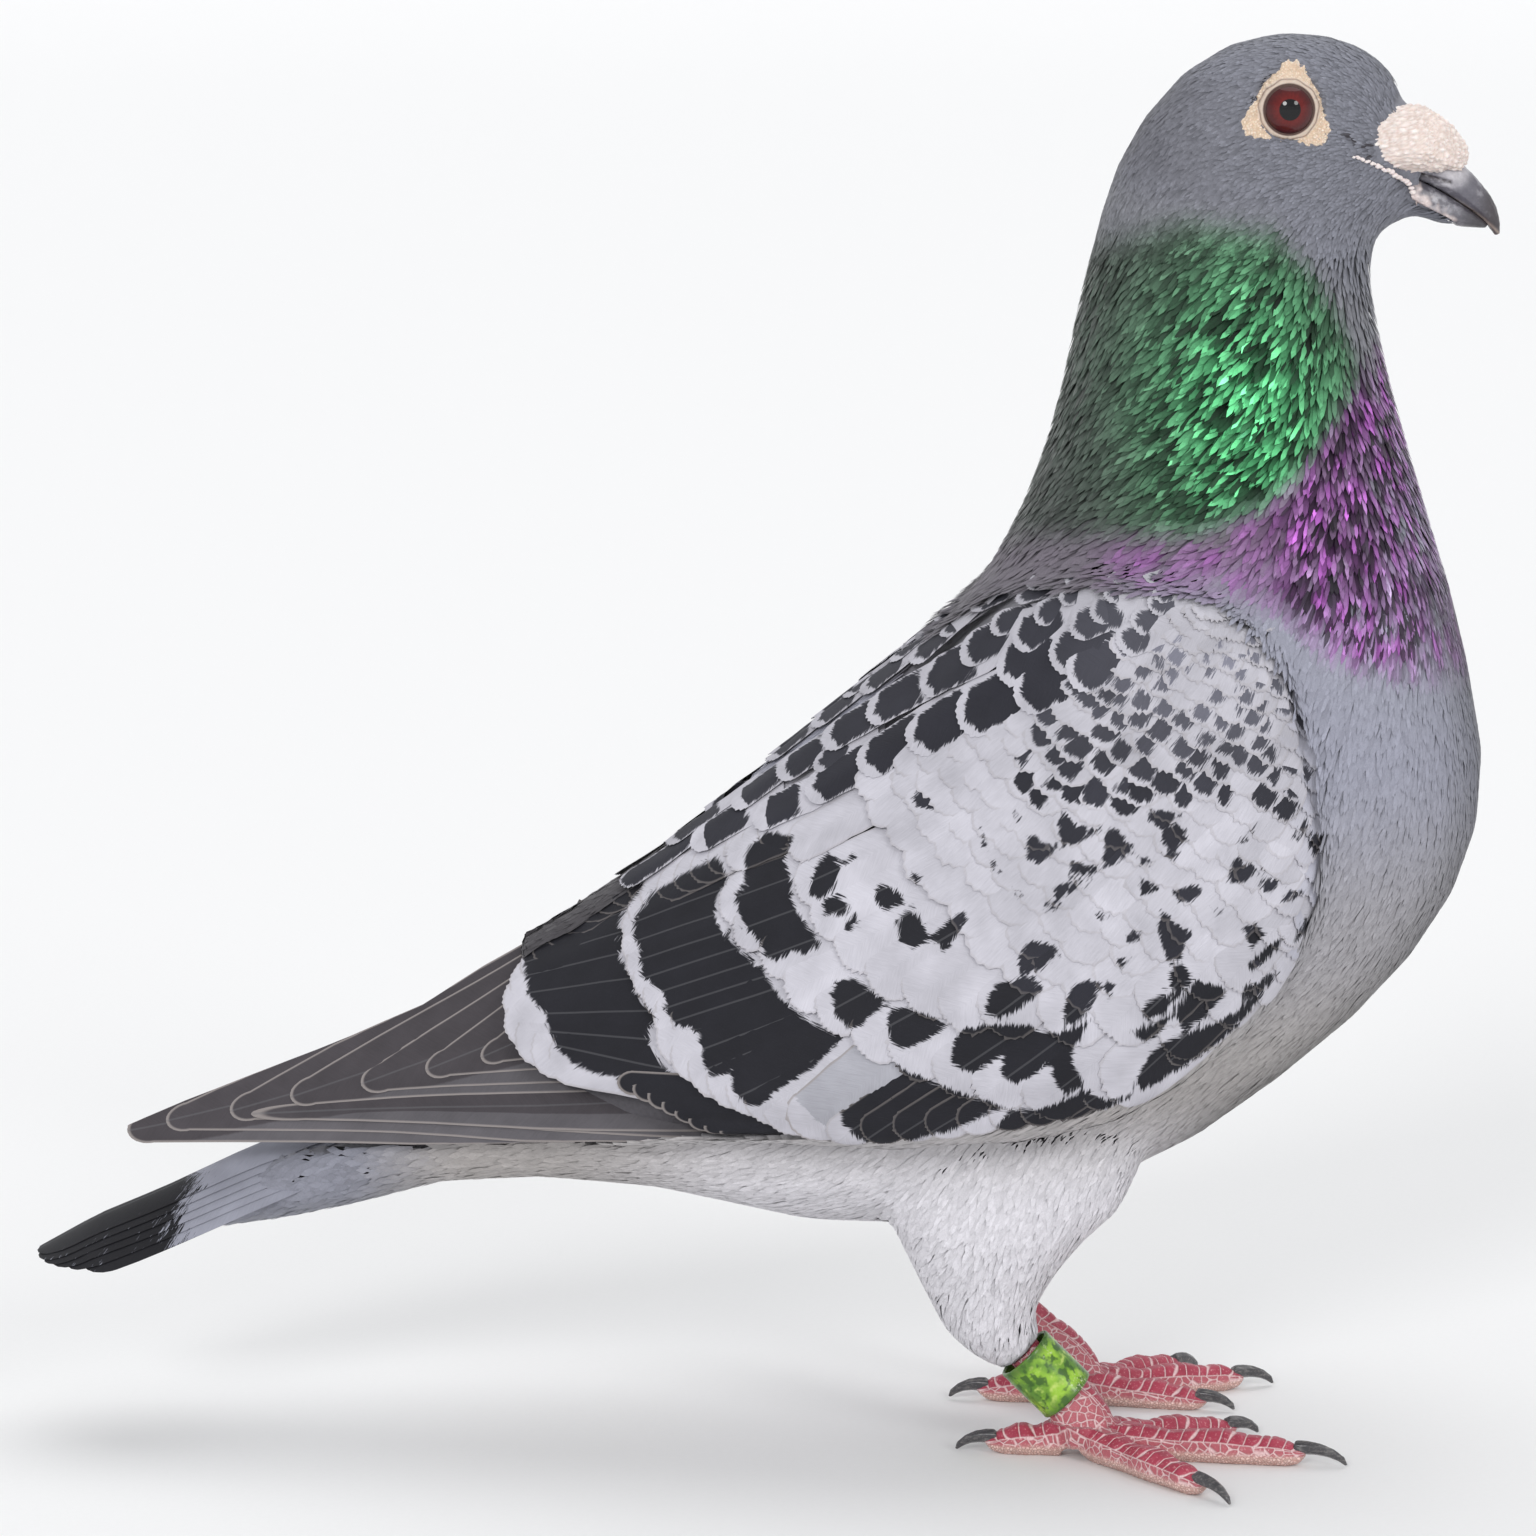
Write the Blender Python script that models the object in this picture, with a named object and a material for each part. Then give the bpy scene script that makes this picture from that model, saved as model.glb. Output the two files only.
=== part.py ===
"""A life-size standing homing pigeon, as a museum model: head, neck, trunk, wings, tail, legs, toes and claws.

The bird faces +X and stands on z = 0, with its right side at -Y. Sizes are in millimetres, and MM makes them metres.
The soft body is one loft, parted by thin cuts; whatever lies on it or grows from it is cut back from it by GAP.
"""

import math
from collections import namedtuple

import bmesh
import bpy
import numpy as np
from mathutils import Vector

MM = 0.001
GAP = 0.35  # clearance between neighbouring solids
SIDES = {"right": -1, "left": 1}

# A section of a body: its point on the back line and on the belly line, as (x, z), its half width,
# and how far its widest place leans towards the back.
Section = namedtuple("Section", "back belly half_width lean")

BODY = [
    Section((114.2, 242.2), (115.4, 221.0), 4.6, 0.00),
    Section((110.6, 247.4), (113.2, 220.0), 6.8, 0.04),
    Section((104.2, 251.3), (111.4, 219.2), 9.4, 0.08),
    Section((92.8, 253.0), (110.2, 218.2), 11.7, 0.10),
    Section((78.5, 248.4), (109.4, 217.0), 13.2, 0.10),
    Section((67.0, 235.8), (108.8, 214.8), 14.8, 0.06),
    Section((61.2, 221.5), (108.5, 211.0), 16.8, 0.00),
    Section((57.4, 205.5), (108.9, 205.5), 20.2, 0.00),
    Section((54.2, 189.5), (112.6, 189.5), 24.0, 0.00),
    Section((48.6, 171.5), (118.0, 171.5), 30.5, 0.00),
    Section((37.2, 151.0), (124.8, 149.5), 37.5, -0.02),
    Section((22.5, 133.0), (129.8, 123.5), 41.0, -0.05),
    Section((8.5, 117.5), (126.2, 103.5), 42.0, -0.06),
    Section((-4.5, 104.5), (113.8, 84.8), 41.0, -0.06),
    Section((-17.0, 94.5), (93.5, 66.4), 38.0, -0.06),
    Section((-30.5, 85.0), (67.0, 49.4), 33.5, -0.05),
    Section((-46.0, 75.5), (29.0, 38.8), 27.5, -0.04),
    Section((-63.0, 67.0), (-16.0, 46.6), 20.0, 0.00),
    Section((-79.0, 58.2), (-51.0, 48.2), 14.0, 0.00),
    Section((-93.0, 48.8), (-78.0, 41.8), 10.5, 0.00),
    Section((-105.0, 42.8), (-99.0, 38.6), 8.0, 0.00),
]
BODY_SQUARENESS = 2.2
BODY_SIDES = 22
BODY_RINGS = 34

# Planes that part the soft body, as a point (x, z) and a normal (x, z) that points towards the head.
HEAD_CUT = ((86.0, 214.0), (0.14, 1.0))
TRUNK_CUT = ((80.0, 160.0), (0.06, 1.0))

UPPER_BILL = [
    Section((112.0, 236.6), (109.4, 229.8), 4.6, 0.0),
    Section((118.6, 234.0), (115.2, 228.2), 4.7, 0.0),
    Section((123.8, 230.6), (120.0, 226.0), 4.1, 0.0),
    Section((127.4, 227.2), (124.2, 223.6), 3.3, 0.0),
    Section((130.2, 223.6), (127.7, 221.2), 2.4, 0.0),
    Section((131.3, 220.4), (129.8, 219.3), 1.4, 0.0),
    Section((131.45, 217.9), (130.9, 217.7), 0.4, 0.0),
]
LOWER_BILL = [
    Section((109.8, 229.2), (112.0, 222.6), 4.0, 0.0),
    Section((115.4, 227.8), (117.0, 221.2), 3.9, 0.0),
    Section((120.4, 225.3), (121.0, 219.8), 3.4, 0.0),
    Section((124.4, 222.8), (124.6, 219.1), 2.7, 0.0),
    Section((127.6, 220.7), (127.5, 218.9), 1.8, 0.0),
    Section((129.3, 219.3), (129.0, 218.8), 0.6, 0.0),
]
BILL_SIDES = 12
BILL_SQUARENESS = 2.3
UPPER_BILL_RINGS = 12
LOWER_BILL_RINGS = 9

WATTLE_CENTRE = (116.0, 3.2, 234.4)
WATTLE_RADII = (8.4, 4.5, 5.7)
WATTLE_PITCH = math.radians(24)
WATTLE_SEGMENTS = 14

EYE_CENTRE = (92.8, 9.3, 239.9)
EYE_RADIUS = 5.6
SOCKET_GAP = 0.45
CERE_RADIUS = 7.4  # the bare skin round the eye is a rounded triangle, apex up
CERE_POINTED = 1.55
CERE_THICKNESS = 0.7
CERE_SIDES = 21

# A section of a folded wing: its upper and its lower edge, as (x, y, z), how far it bulges past the higher
# of them, and its depth from the outer face inwards.
WingSection = namedtuple("WingSection", "upper lower bulge depth")

WING = [
    WingSection((90.0, 38.0, 147.0), (97.5, 37.5, 108.0), 4.5, 10.0),
    WingSection((79.0, 36.5, 156.0), (91.5, 37.0, 87.5), 9.5, 12.0),
    WingSection((60.0, 30.0, 160.5), (75.5, 38.5, 72.5), 14.5, 12.0),
    WingSection((45.5, 19.0, 156.6), (58.0, 39.0, 63.5), 19.5, 12.0),
    WingSection((34.5, 7.0, 149.8), (39.5, 38.5, 61.0), 24.0, 12.0),
    WingSection((18.5, 1.5, 137.3), (20.5, 37.0, 59.6), 23.5, 11.0),
    WingSection((2.0, 1.0, 123.2), (4.0, 34.0, 60.2), 21.0, 9.0),
    WingSection((-17.0, 1.0, 107.6), (-13.0, 30.0, 59.0), 16.5, 5.0),
    WingSection((-39.0, 1.0, 93.2), (-36.0, 24.5, 56.8), 11.0, 3.4),
    WingSection((-61.0, 2.0, 81.2), (-58.0, 18.5, 55.6), 7.0, 2.8),
    WingSection((-84.0, 3.5, 70.9), (-82.0, 14.0, 55.0), 4.0, 2.4),
    WingSection((-103.0, 5.0, 63.0), (-101.5, 10.5, 54.9), 2.2, 1.8),
    WingSection((-113.4, 6.6, 57.9), (-113.0, 8.6, 55.3), 0.8, 1.0),
]
WING_RINGS = 18
WING_ARC_POINTS = 9
WING_FULLNESS = 2.5
WING_EDGE = 0.6  # depth at the wing's upper and lower edge
HAND_CUT = ((-38.0, 78.0), (1.0, 0.45))  # parts the primaries from the rest of the wing

# A section of the closed tail: its ridge as (x, z), half width, how far the sides droop, and its depth.
TailSection = namedtuple("TailSection", "ridge half_width droop depth")

TAIL = [
    TailSection((-56.0, 62.8), 9.5, 3.0, 9.0),
    TailSection((-74.0, 59.0), 13.0, 8.0, 6.5),
    TailSection((-92.0, 53.0), 16.8, 11.2, 4.0),
    TailSection((-108.0, 45.3), 18.8, 8.8, 3.0),
    TailSection((-120.5, 39.9), 18.8, 6.4, 2.4),
    TailSection((-126.6, 36.5), 15.0, 4.4, 1.8),
    TailSection((-129.8, 34.0), 10.5, 2.0, 1.4),
    TailSection((-131.3, 32.8), 5.0, 0.5, 1.0),
]
TAIL_RINGS = 11
TAIL_ARC_POINTS = 7
TAIL_EDGE = 0.6

LEG_SPREAD = 19.0  # of each leg from the middle of the body
# The feathered thigh runs down to the heel and then forwards: centre (x, z), heading in degrees below the
# horizontal, half depth along the side view, half width, and spread from the middle of the body.
ThighSection = namedtuple("ThighSection", "centre heading half_depth half_width spread")

THIGH = [
    ThighSection((50.0, 76.0), 95, 22.0, 11.0, 18.0),
    ThighSection((46.5, 60.0), 95, 23.0, 13.5, 18.0),
    ThighSection((43.0, 48.0), 95, 22.0, 13.5, 18.5),
    ThighSection((41.0, 39.0), 92, 15.6, 11.8, LEG_SPREAD),
    ThighSection((41.0, 31.5), 86, 11.1, 9.4, LEG_SPREAD),
    ThighSection((42.1, 25.6), 68, 8.4, 7.4, LEG_SPREAD),
    ThighSection((44.7, 21.7), 48, 5.8, 5.8, LEG_SPREAD),
    ThighSection((47.2, 19.3), 45, 4.5, 4.5, LEG_SPREAD),
]
THIGH_SIDES = 14
THIGH_RINGS = 11

# A section of a bare shank, from the end of the feathers into the ball of the foot: centre (x, z) and radius.
ShankSection = namedtuple("ShankSection", "centre radius")

SHANK = [
    ShankSection((46.6, 19.8), 3.2),
    ShankSection((51.5, 14.9), 3.3),
    ShankSection((55.2, 10.9), 4.4),
    ShankSection((57.4, 7.4), 5.2),
    ShankSection((58.8, 4.6), 5.4),
    ShankSection((59.4, 2.8), 4.8),
]
SHANK_RINGS = 9
SHANK_SIDES = 12
FOOT_CENTRE = (58.0, 0.0)  # the point on the floor that a foot's toes spread from, before LEG_SPREAD

BAND_CENTRE = (51.5, 14.9)
BAND_RADIUS = 5.6
BAND_WALL = 0.7
BAND_LENGTH = 11.2
BAND_SIDES = 20

# A toe: heading away from straight ahead, outwards on each side, length, and radius at its tip.
Toe = namedtuple("Toe", "heading length tip_radius claw")

TOES = {
    "right": {
        "1": Toe(186, 16.0, 2.5, 5.8),
        "2": Toe(-23, 30.0, 2.3, 5.0),
        "3": Toe(11, 39.0, 2.8, 7.8),
        "4": Toe(56, 34.0, 2.7, 7.8),
    },
    "left": {
        "1": Toe(174, 16.0, 2.5, 5.8),
        "2": Toe(-14, 24.5, 2.3, 5.6),
        "3": Toe(18, 33.5, 2.7, 6.6),
        "4": Toe(44, 29.5, 2.5, 5.2),
    },
}
TOE_START = 3.2  # from the foot's centre
TOE_ROOT_RADIUS = 3.3
TOE_PRESS = 0.86  # a toe's axis is this share of its radius above the floor
TOE_RINGS = 9
TOE_SIDES = 8
PAD_SWELL = 0.10
CLAW_ROOT_RADIUS = 1.5
CLAW_TIP_RADIUS = 0.25
CLAW_CURL = 82  # degrees that a claw turns through
CLAW_RINGS = 5
CLAW_SIDES = 6


def start_scene():
    """Clears the scene and returns (the collection for the bird, the one for its cutters)."""
    for leftover in list(bpy.data.objects):
        bpy.data.objects.remove(leftover, do_unlink=True)
    made = []
    for name in ("pigeon", "cutters"):
        collection = bpy.data.collections.new(name)
        bpy.context.scene.collection.children.link(collection)
        made.append(collection)
    return made


def paint(name, colour, roughness, metallic=0.0):
    material = bpy.data.materials.new(name)
    material.use_nodes = True
    shader = material.node_tree.nodes["Principled BSDF"]
    shader.inputs["Base Color"].default_value = (*colour, 1.0)
    shader.inputs["Roughness"].default_value = roughness
    shader.inputs["Metallic"].default_value = metallic
    return material


def add_object(name, mesh, collection, material=None):
    made = bpy.data.objects.new(name, mesh)
    collection.objects.link(made)
    if material:
        mesh.materials.append(material)
        mesh.shade_smooth()
        mesh.set_sharp_from_angle(angle=math.radians(40))
    else:
        made.hide_render = True
        made.display_type = "WIRE"
    return made


def smooth_rows(rows, count):
    """count rows along the Catmull-Rom curve through rows, each a list of numbers."""
    table = np.array(rows, float)
    padded = np.vstack([2 * table[0] - table[1], table, 2 * table[-1] - table[-2]])
    found = []
    for place in np.linspace(0, len(table) - 1, count):
        i = min(int(place), len(table) - 2)
        t = place - i
        p0, p1, p2, p3 = padded[i : i + 4]
        found.append(
            0.5 * (2 * p1 + (p2 - p0) * t + (2 * p0 - 5 * p1 + 4 * p2 - p3) * t**2 + (3 * (p1 - p2) + p3 - p0) * t**3)
        )
    return found


def loft(rings):
    """A closed mesh through rings of points in millimetres, each with as many points as the next."""
    made = bmesh.new()
    rows = [[made.verts.new(Vector(point) * MM) for point in ring] for ring in rings]
    count = len(rows[0])
    for near, far in zip(rows, rows[1:]):
        for k in range(count):
            after = (k + 1) % count
            made.faces.new((near[k], near[after], far[after], far[k]))
    made.faces.new(reversed(rows[0]))
    made.faces.new(rows[-1])
    bmesh.ops.recalc_face_normals(made, faces=made.faces)
    return made


def lengthened(rings, amount):
    """The rings, with the first and the last moved outwards along the loft by amount."""
    if not amount:
        return rings
    middles = [sum((Vector(point) for point in ring), Vector()) / len(ring) for ring in rings]
    for end, inner in ((0, 1), (-1, -2)):
        step = (middles[end] - middles[inner]).normalized() * amount
        rings[end] = [Vector(point) + step for point in rings[end]]
    return rings


def to_mesh(name, made):
    """A triangulated mesh from a bmesh, which is freed."""
    bmesh.ops.triangulate(made, faces=made.faces)
    mesh = bpy.data.meshes.new(name)
    made.to_mesh(mesh)
    made.free()
    return mesh


def rounded(angle, squareness):
    """(cosine, sine) of an angle, drawn out towards a rounded square."""
    c, s = math.cos(angle), math.sin(angle)
    power = 2 / squareness
    return math.copysign(abs(c) ** power, c), math.copysign(abs(s) ** power, s)


def section_ring(row, sides, squareness, grow):
    """A ring round a section given as (back x, back z, belly x, belly z, half width, lean)."""
    back, belly, half_width, lean = Vector(row[:2]), Vector(row[2:4]), row[4], row[5]
    middle, across = (back + belly) / 2, (back - belly) / 2
    across *= 1 + grow / max(across.length, 1e-6)
    ring = []
    for k in range(sides):
        c, s = rounded(2 * math.pi * k / sides, squareness)
        width = (half_width + grow) * (1 + lean * c)
        ring.append((middle.x + across.x * c, width * s, middle.y + across.y * c))
    return ring


def section_loft(sections, sides, rings, squareness=2.0, grow=0.0):
    """A closed bmesh through sections, or one that is larger all round by grow."""
    rows = smooth_rows([(*s.back, *s.belly, s.half_width, s.lean) for s in sections], rings)
    return loft(lengthened([section_ring(row, sides, squareness, grow) for row in rows], grow))


def body_loft(grow=0.0):
    """The whole soft body in one piece, from the face to under the tail."""
    return section_loft(BODY, BODY_SIDES, BODY_RINGS, BODY_SQUARENESS, grow)


def keep_beyond(made, point, normal):
    """Cuts a closed bmesh by a plane, keeps what lies on the side that the normal points to, and closes it."""
    everything = made.verts[:] + made.edges[:] + made.faces[:]
    bmesh.ops.bisect_plane(made, geom=everything, plane_co=point, plane_no=normal, clear_inner=True)
    open_edges = [edge for edge in made.edges if edge.is_boundary]
    bmesh.ops.holes_fill(made, edges=open_edges)
    bmesh.ops.recalc_face_normals(made, faces=made.faces)


def keep_side(made, plane, sign):
    """Keeps the part of a bmesh on one side of a plane across the side view, half a gap away from it."""
    (x, z), (nx, nz) = plane
    normal = Vector((nx, 0, nz)).normalized() * sign
    keep_beyond(made, (Vector((x, 0, z)) + normal * (GAP / 2)) * MM, normal)


def cut_with(made, *cutters, operation="DIFFERENCE"):
    """Applies an exact Boolean of each cutter to an object's own mesh."""
    for cutter in cutters:
        boolean = made.modifiers.new(cutter.name, "BOOLEAN")
        boolean.operation = operation
        boolean.solver = "EXACT"
        boolean.object = cutter
    graph = bpy.context.evaluated_depsgraph_get()
    cut = bpy.data.meshes.new_from_object(made.evaluated_get(graph))
    made.modifiers.clear()
    made.data = cut
    return made


def ellipsoid(centre, radii, pitch=0.0, segments=18):
    """A bmesh ball of those radii, turned nose down about Y by pitch."""
    made = bmesh.new()
    bmesh.ops.create_uvsphere(made, u_segments=segments, v_segments=segments // 2, radius=1.0)
    for vertex in made.verts:
        x, y, z = (vertex.co[i] * radii[i] for i in range(3))
        turned = Vector((x * math.cos(pitch) + z * math.sin(pitch), y, z * math.cos(pitch) - x * math.sin(pitch)))
        vertex.co = (Vector(centre) + turned) * MM
    return made


def mirrored(point, side):
    return (point[0], point[1] * side, point[2])


def make_body(bird, cutters, paints):
    """The head, neck and trunk, and the cutter that the other pieces are cut back with."""
    parts = {
        "head": [(HEAD_CUT, 1)],
        "neck": [(HEAD_CUT, -1), (TRUNK_CUT, 1)],
        "trunk": [(TRUNK_CUT, -1)],
    }
    made = {}
    for name, cuts in parts.items():
        shape = body_loft()
        for plane, sign in cuts:
            keep_side(shape, plane, sign)
        made[name] = add_object(name, to_mesh(name, shape), bird, paints[name])
    grown = add_object("body_cutter", to_mesh("body_cutter", body_loft(grow=GAP)), cutters)
    return made, grown


def make_bill(bird, cutters, paints, head, grown_body):
    upper = section_loft(UPPER_BILL, BILL_SIDES, UPPER_BILL_RINGS, BILL_SQUARENESS)
    lower = section_loft(LOWER_BILL, BILL_SIDES, LOWER_BILL_RINGS, BILL_SQUARENESS)
    upper_bill = add_object("upper_bill", to_mesh("upper_bill", upper), bird, paints["bill"])
    lower_bill = add_object("lower_bill", to_mesh("lower_bill", lower), bird, paints["bill"])
    grown = section_loft(UPPER_BILL, BILL_SIDES, UPPER_BILL_RINGS, BILL_SQUARENESS, grow=GAP)
    upper_cutter = add_object("upper_bill_cutter", to_mesh("upper_bill_cutter", grown), cutters)
    cut_with(lower_bill, upper_cutter, grown_body)
    cut_with(upper_bill, grown_body)
    for name, side in SIDES.items():
        centre = mirrored(WATTLE_CENTRE, side)
        lobe = ellipsoid(centre, WATTLE_RADII, WATTLE_PITCH, WATTLE_SEGMENTS)
        keep_beyond(lobe, Vector((0, side * GAP / 2 * MM, 0)), Vector((0, side, 0)))
        wattle = add_object(f"wattle_{name}", to_mesh(f"wattle_{name}", lobe), bird, paints["wattle"])
        cut_with(wattle, upper_cutter)
        grown_lobe = ellipsoid(centre, [radius + GAP for radius in WATTLE_RADII], WATTLE_PITCH, WATTLE_SEGMENTS)
        lobe_cutter = add_object(f"wattle_{name}_cutter", to_mesh(f"wattle_{name}_cutter", grown_lobe), cutters)
        cut_with(head, lobe_cutter)


def cere_prism(side):
    """A prism across the eye whose outline is the rounded triangle of bare skin."""
    rings = []
    for y in (EYE_CENTRE[1] - 3, EYE_CENTRE[1] + 9):
        ring = []
        for k in range(CERE_SIDES):
            angle = 2 * math.pi * k / CERE_SIDES
            reach = CERE_RADIUS + CERE_POINTED * math.cos(3 * (angle - math.pi / 2))
            ring.append((EYE_CENTRE[0] + reach * math.cos(angle), y * side, EYE_CENTRE[2] + reach * math.sin(angle)))
        rings.append(ring)
    return loft(rings)


def make_eyes(bird, cutters, paints, head, grown_body):
    """Each eyeball in its socket, and the bare skin round it."""
    proud = body_loft(grow=GAP + CERE_THICKNESS)
    proud_body = add_object("cere_cutter", to_mesh("cere_cutter", proud), cutters)
    for name, side in SIDES.items():
        centre = mirrored(EYE_CENTRE, side)
        ball = ellipsoid(centre, [EYE_RADIUS] * 3)
        add_object(f"eye_{name}", to_mesh(f"eye_{name}", ball), bird, paints["eye"])
        socket = ellipsoid(centre, [EYE_RADIUS + SOCKET_GAP] * 3, segments=16)
        socket_cutter = add_object(f"socket_{name}_cutter", to_mesh(f"socket_{name}", socket), cutters)
        cut_with(head, socket_cutter)
        cere = add_object(f"eye_cere_{name}", to_mesh(f"eye_cere_{name}", cere_prism(side)), bird, paints["cere"])
        cut_with(cere, proud_body, operation="INTERSECT")
        cut_with(cere, grown_body, socket_cutter)


def wing_ring(row, side):
    """A closed crescent: the wing's outer face from its upper edge to its lower one, and back along the inner."""
    upper, lower, bulge, depth = Vector(row[:3]), Vector(row[3:6]), row[6], row[7]
    down = Vector((lower.x - upper.x, 0, lower.z - upper.z))
    span = down.length
    outer = []
    for k in range(WING_ARC_POINTS):
        share = (1 - math.cos(math.pi * k / (WING_ARC_POINTS - 1))) / 2
        swell = (1 - abs(1 - 2 * share) ** WING_FULLNESS) ** 0.6
        outer.append(Vector((share * span, upper.y + (lower.y - upper.y) * share + bulge * swell)))
    inner = []
    for k, point in enumerate(outer):
        before, after = outer[max(k - 1, 0)], outer[min(k + 1, WING_ARC_POINTS - 1)]
        run = (after - before).normalized()
        inwards = Vector((run.y, -run.x))
        full = math.sin(math.pi * k / (WING_ARC_POINTS - 1)) ** 0.7
        inner.append(point + inwards * (WING_EDGE + (depth - WING_EDGE) * full))
    ring = []
    for along, y in outer + inner[::-1]:
        place = upper + down * (along / span)
        ring.append((place.x, side * max(y, GAP), place.z))
    return ring


def make_wing(name, side, bird, paints, grown_body):
    """A folded wing in two nodes: the shield of coverts and secondaries, and the primaries behind it."""
    rows = smooth_rows([(*s.upper, *s.lower, s.bulge, s.depth) for s in WING], WING_RINGS)
    rings = [wing_ring(row, side) for row in rows]
    for part, sign in (("shield", 1), ("primaries", -1)):
        shape = loft(rings)
        keep_side(shape, HAND_CUT, sign)
        full_name = f"wing_{part}_{name}"
        wing = add_object(full_name, to_mesh(full_name, shape), bird, paints[f"wing_{part}"])
        cut_with(wing, grown_body)


def tail_ring(row):
    ridge, half_width, droop, depth = Vector(row[:2]), row[2], row[3], row[4]
    top, bottom = [], []
    for k in range(TAIL_ARC_POINTS):
        share = 2 * k / (TAIL_ARC_POINTS - 1) - 1
        fall = droop * abs(share) ** 1.7
        thick = TAIL_EDGE + (depth - TAIL_EDGE) * (1 - share * share)
        top.append((ridge.x, half_width * share, ridge.y - fall))
        bottom.append((ridge.x, half_width * share, ridge.y - fall - thick))
    return top + bottom[::-1]


def make_tail(bird, paints, grown_body):
    """The closed tail, which lies on the trunk's tapering end."""
    rows = smooth_rows([(*s.ridge, s.half_width, s.droop, s.depth) for s in TAIL], TAIL_RINGS)
    tail = add_object("tail", to_mesh("tail", loft([tail_ring(row) for row in rows])), bird, paints["tail"])
    cut_with(tail, grown_body)


def thigh_loft(side, grow=0.0):
    """A feathered thigh, from inside the trunk to where the bare shank leaves it."""
    rows = smooth_rows([(*s.centre, *s[1:]) for s in THIGH], THIGH_RINGS)
    rings = []
    for x, z, heading, half_depth, half_width, spread in rows:
        slope = math.radians(heading)
        across = Vector((math.sin(slope), math.cos(slope)))  # square to the heading, in the side view
        ring = []
        for k in range(THIGH_SIDES):
            c, s = rounded(2 * math.pi * k / THIGH_SIDES, 2.1)
            reach = (half_depth + grow) * c
            ring.append((x + across.x * reach, side * spread + (half_width + grow) * s, z + across.y * reach))
        rings.append(ring)
    return loft(lengthened(rings, grow))


def on_floor(point):
    """The point, or its place on the floor if it would be under it."""
    return (point[0], point[1], max(point[2], 0.0))


def tube_rings(path, radii, sides):
    """Rings square to a path of 3-D points, round and pressed flat where they meet the floor."""
    points = [Vector(p) for p in path]
    rings = []
    for k, (centre, radius) in enumerate(zip(points, radii)):
        run = (points[min(k + 1, len(points) - 1)] - points[max(k - 1, 0)]).normalized()
        level = run.cross(Vector((0, 0, 1))).normalized()
        rise = level.cross(run)
        ring = []
        for j in range(sides):
            angle = 2 * math.pi * (j + 0.5) / sides
            ring.append(on_floor(centre + level * (radius * math.cos(angle)) + rise * (radius * math.sin(angle))))
        rings.append(ring)
    return rings


def shank_loft(side, grow=0.0):
    """A bare shank and the ball of its foot."""
    rows = smooth_rows([(s.centre[0], side * LEG_SPREAD, s.centre[1], s.radius) for s in SHANK], SHANK_RINGS)
    rings = tube_rings([row[:3] for row in rows], [row[3] + grow for row in rows], SHANK_SIDES)
    return loft(lengthened(rings, grow))


def heading_vector(degrees):
    return Vector((math.cos(math.radians(degrees)), math.sin(math.radians(degrees)), 0))


def toe_run(side, toe):
    """A toe's direction along the floor."""
    return heading_vector(toe.heading * side)


def foot_point(side):
    return Vector((FOOT_CENTRE[0], side * LEG_SPREAD, FOOT_CENTRE[1]))


def toe_loft(side, toe):
    """One toe, with a soft pad under each of its joints."""
    run, foot = toe_run(side, toe), foot_point(side)
    path, radii = [], []
    for k in range(TOE_RINGS):
        share = k / (TOE_RINGS - 1)
        radius = TOE_ROOT_RADIUS + (toe.tip_radius - TOE_ROOT_RADIUS) * share
        radius *= 1 + PAD_SWELL * math.sin(math.pi * (4.6 * share - 0.2))
        if k == TOE_RINGS - 1:
            radius *= 0.7
        reach = TOE_START + (toe.length - TOE_START) * share
        path.append(foot + run * reach + Vector((0, 0, radius * TOE_PRESS)))
        radii.append(radius)
    return loft(tube_rings(path, radii, TOE_SIDES))


def claw_loft(side, toe):
    """A claw that springs from the top of the toe's tip and curves down to the floor."""
    run = toe_run(side, toe)
    root = foot_point(side) + run * (toe.length + 2 * GAP)
    height = toe.tip_radius + 0.6
    curl = math.radians(CLAW_CURL)
    path, radii = [], []
    for k in range(CLAW_RINGS):
        share = k / (CLAW_RINGS - 1)
        bend = share * curl
        forward = toe.claw * math.sin(bend) / math.sin(curl)
        fall = (height - CLAW_TIP_RADIUS) * (1 - math.cos(bend)) / (1 - math.cos(curl))
        path.append(root + run * forward + Vector((0, 0, height - fall)))
        radii.append(CLAW_ROOT_RADIUS * (1 - share) ** 0.75 + CLAW_TIP_RADIUS)
    return loft(tube_rings(path, radii, CLAW_SIDES))


def part_toes(made, side, toes, toe_name):
    """Keeps a front toe on its own side of the thin cuts half way to its neighbours."""
    order = ["2", "3", "4"]
    place = order.index(toe_name)
    for other in order[max(place - 1, 0) : place] + order[place + 1 : place + 2]:
        away = (toe_run(side, toes[toe_name]) - toe_run(side, toes[other])).normalized()
        keep_beyond(made, (foot_point(side) + away * (GAP / 2)) * MM, away)


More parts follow.
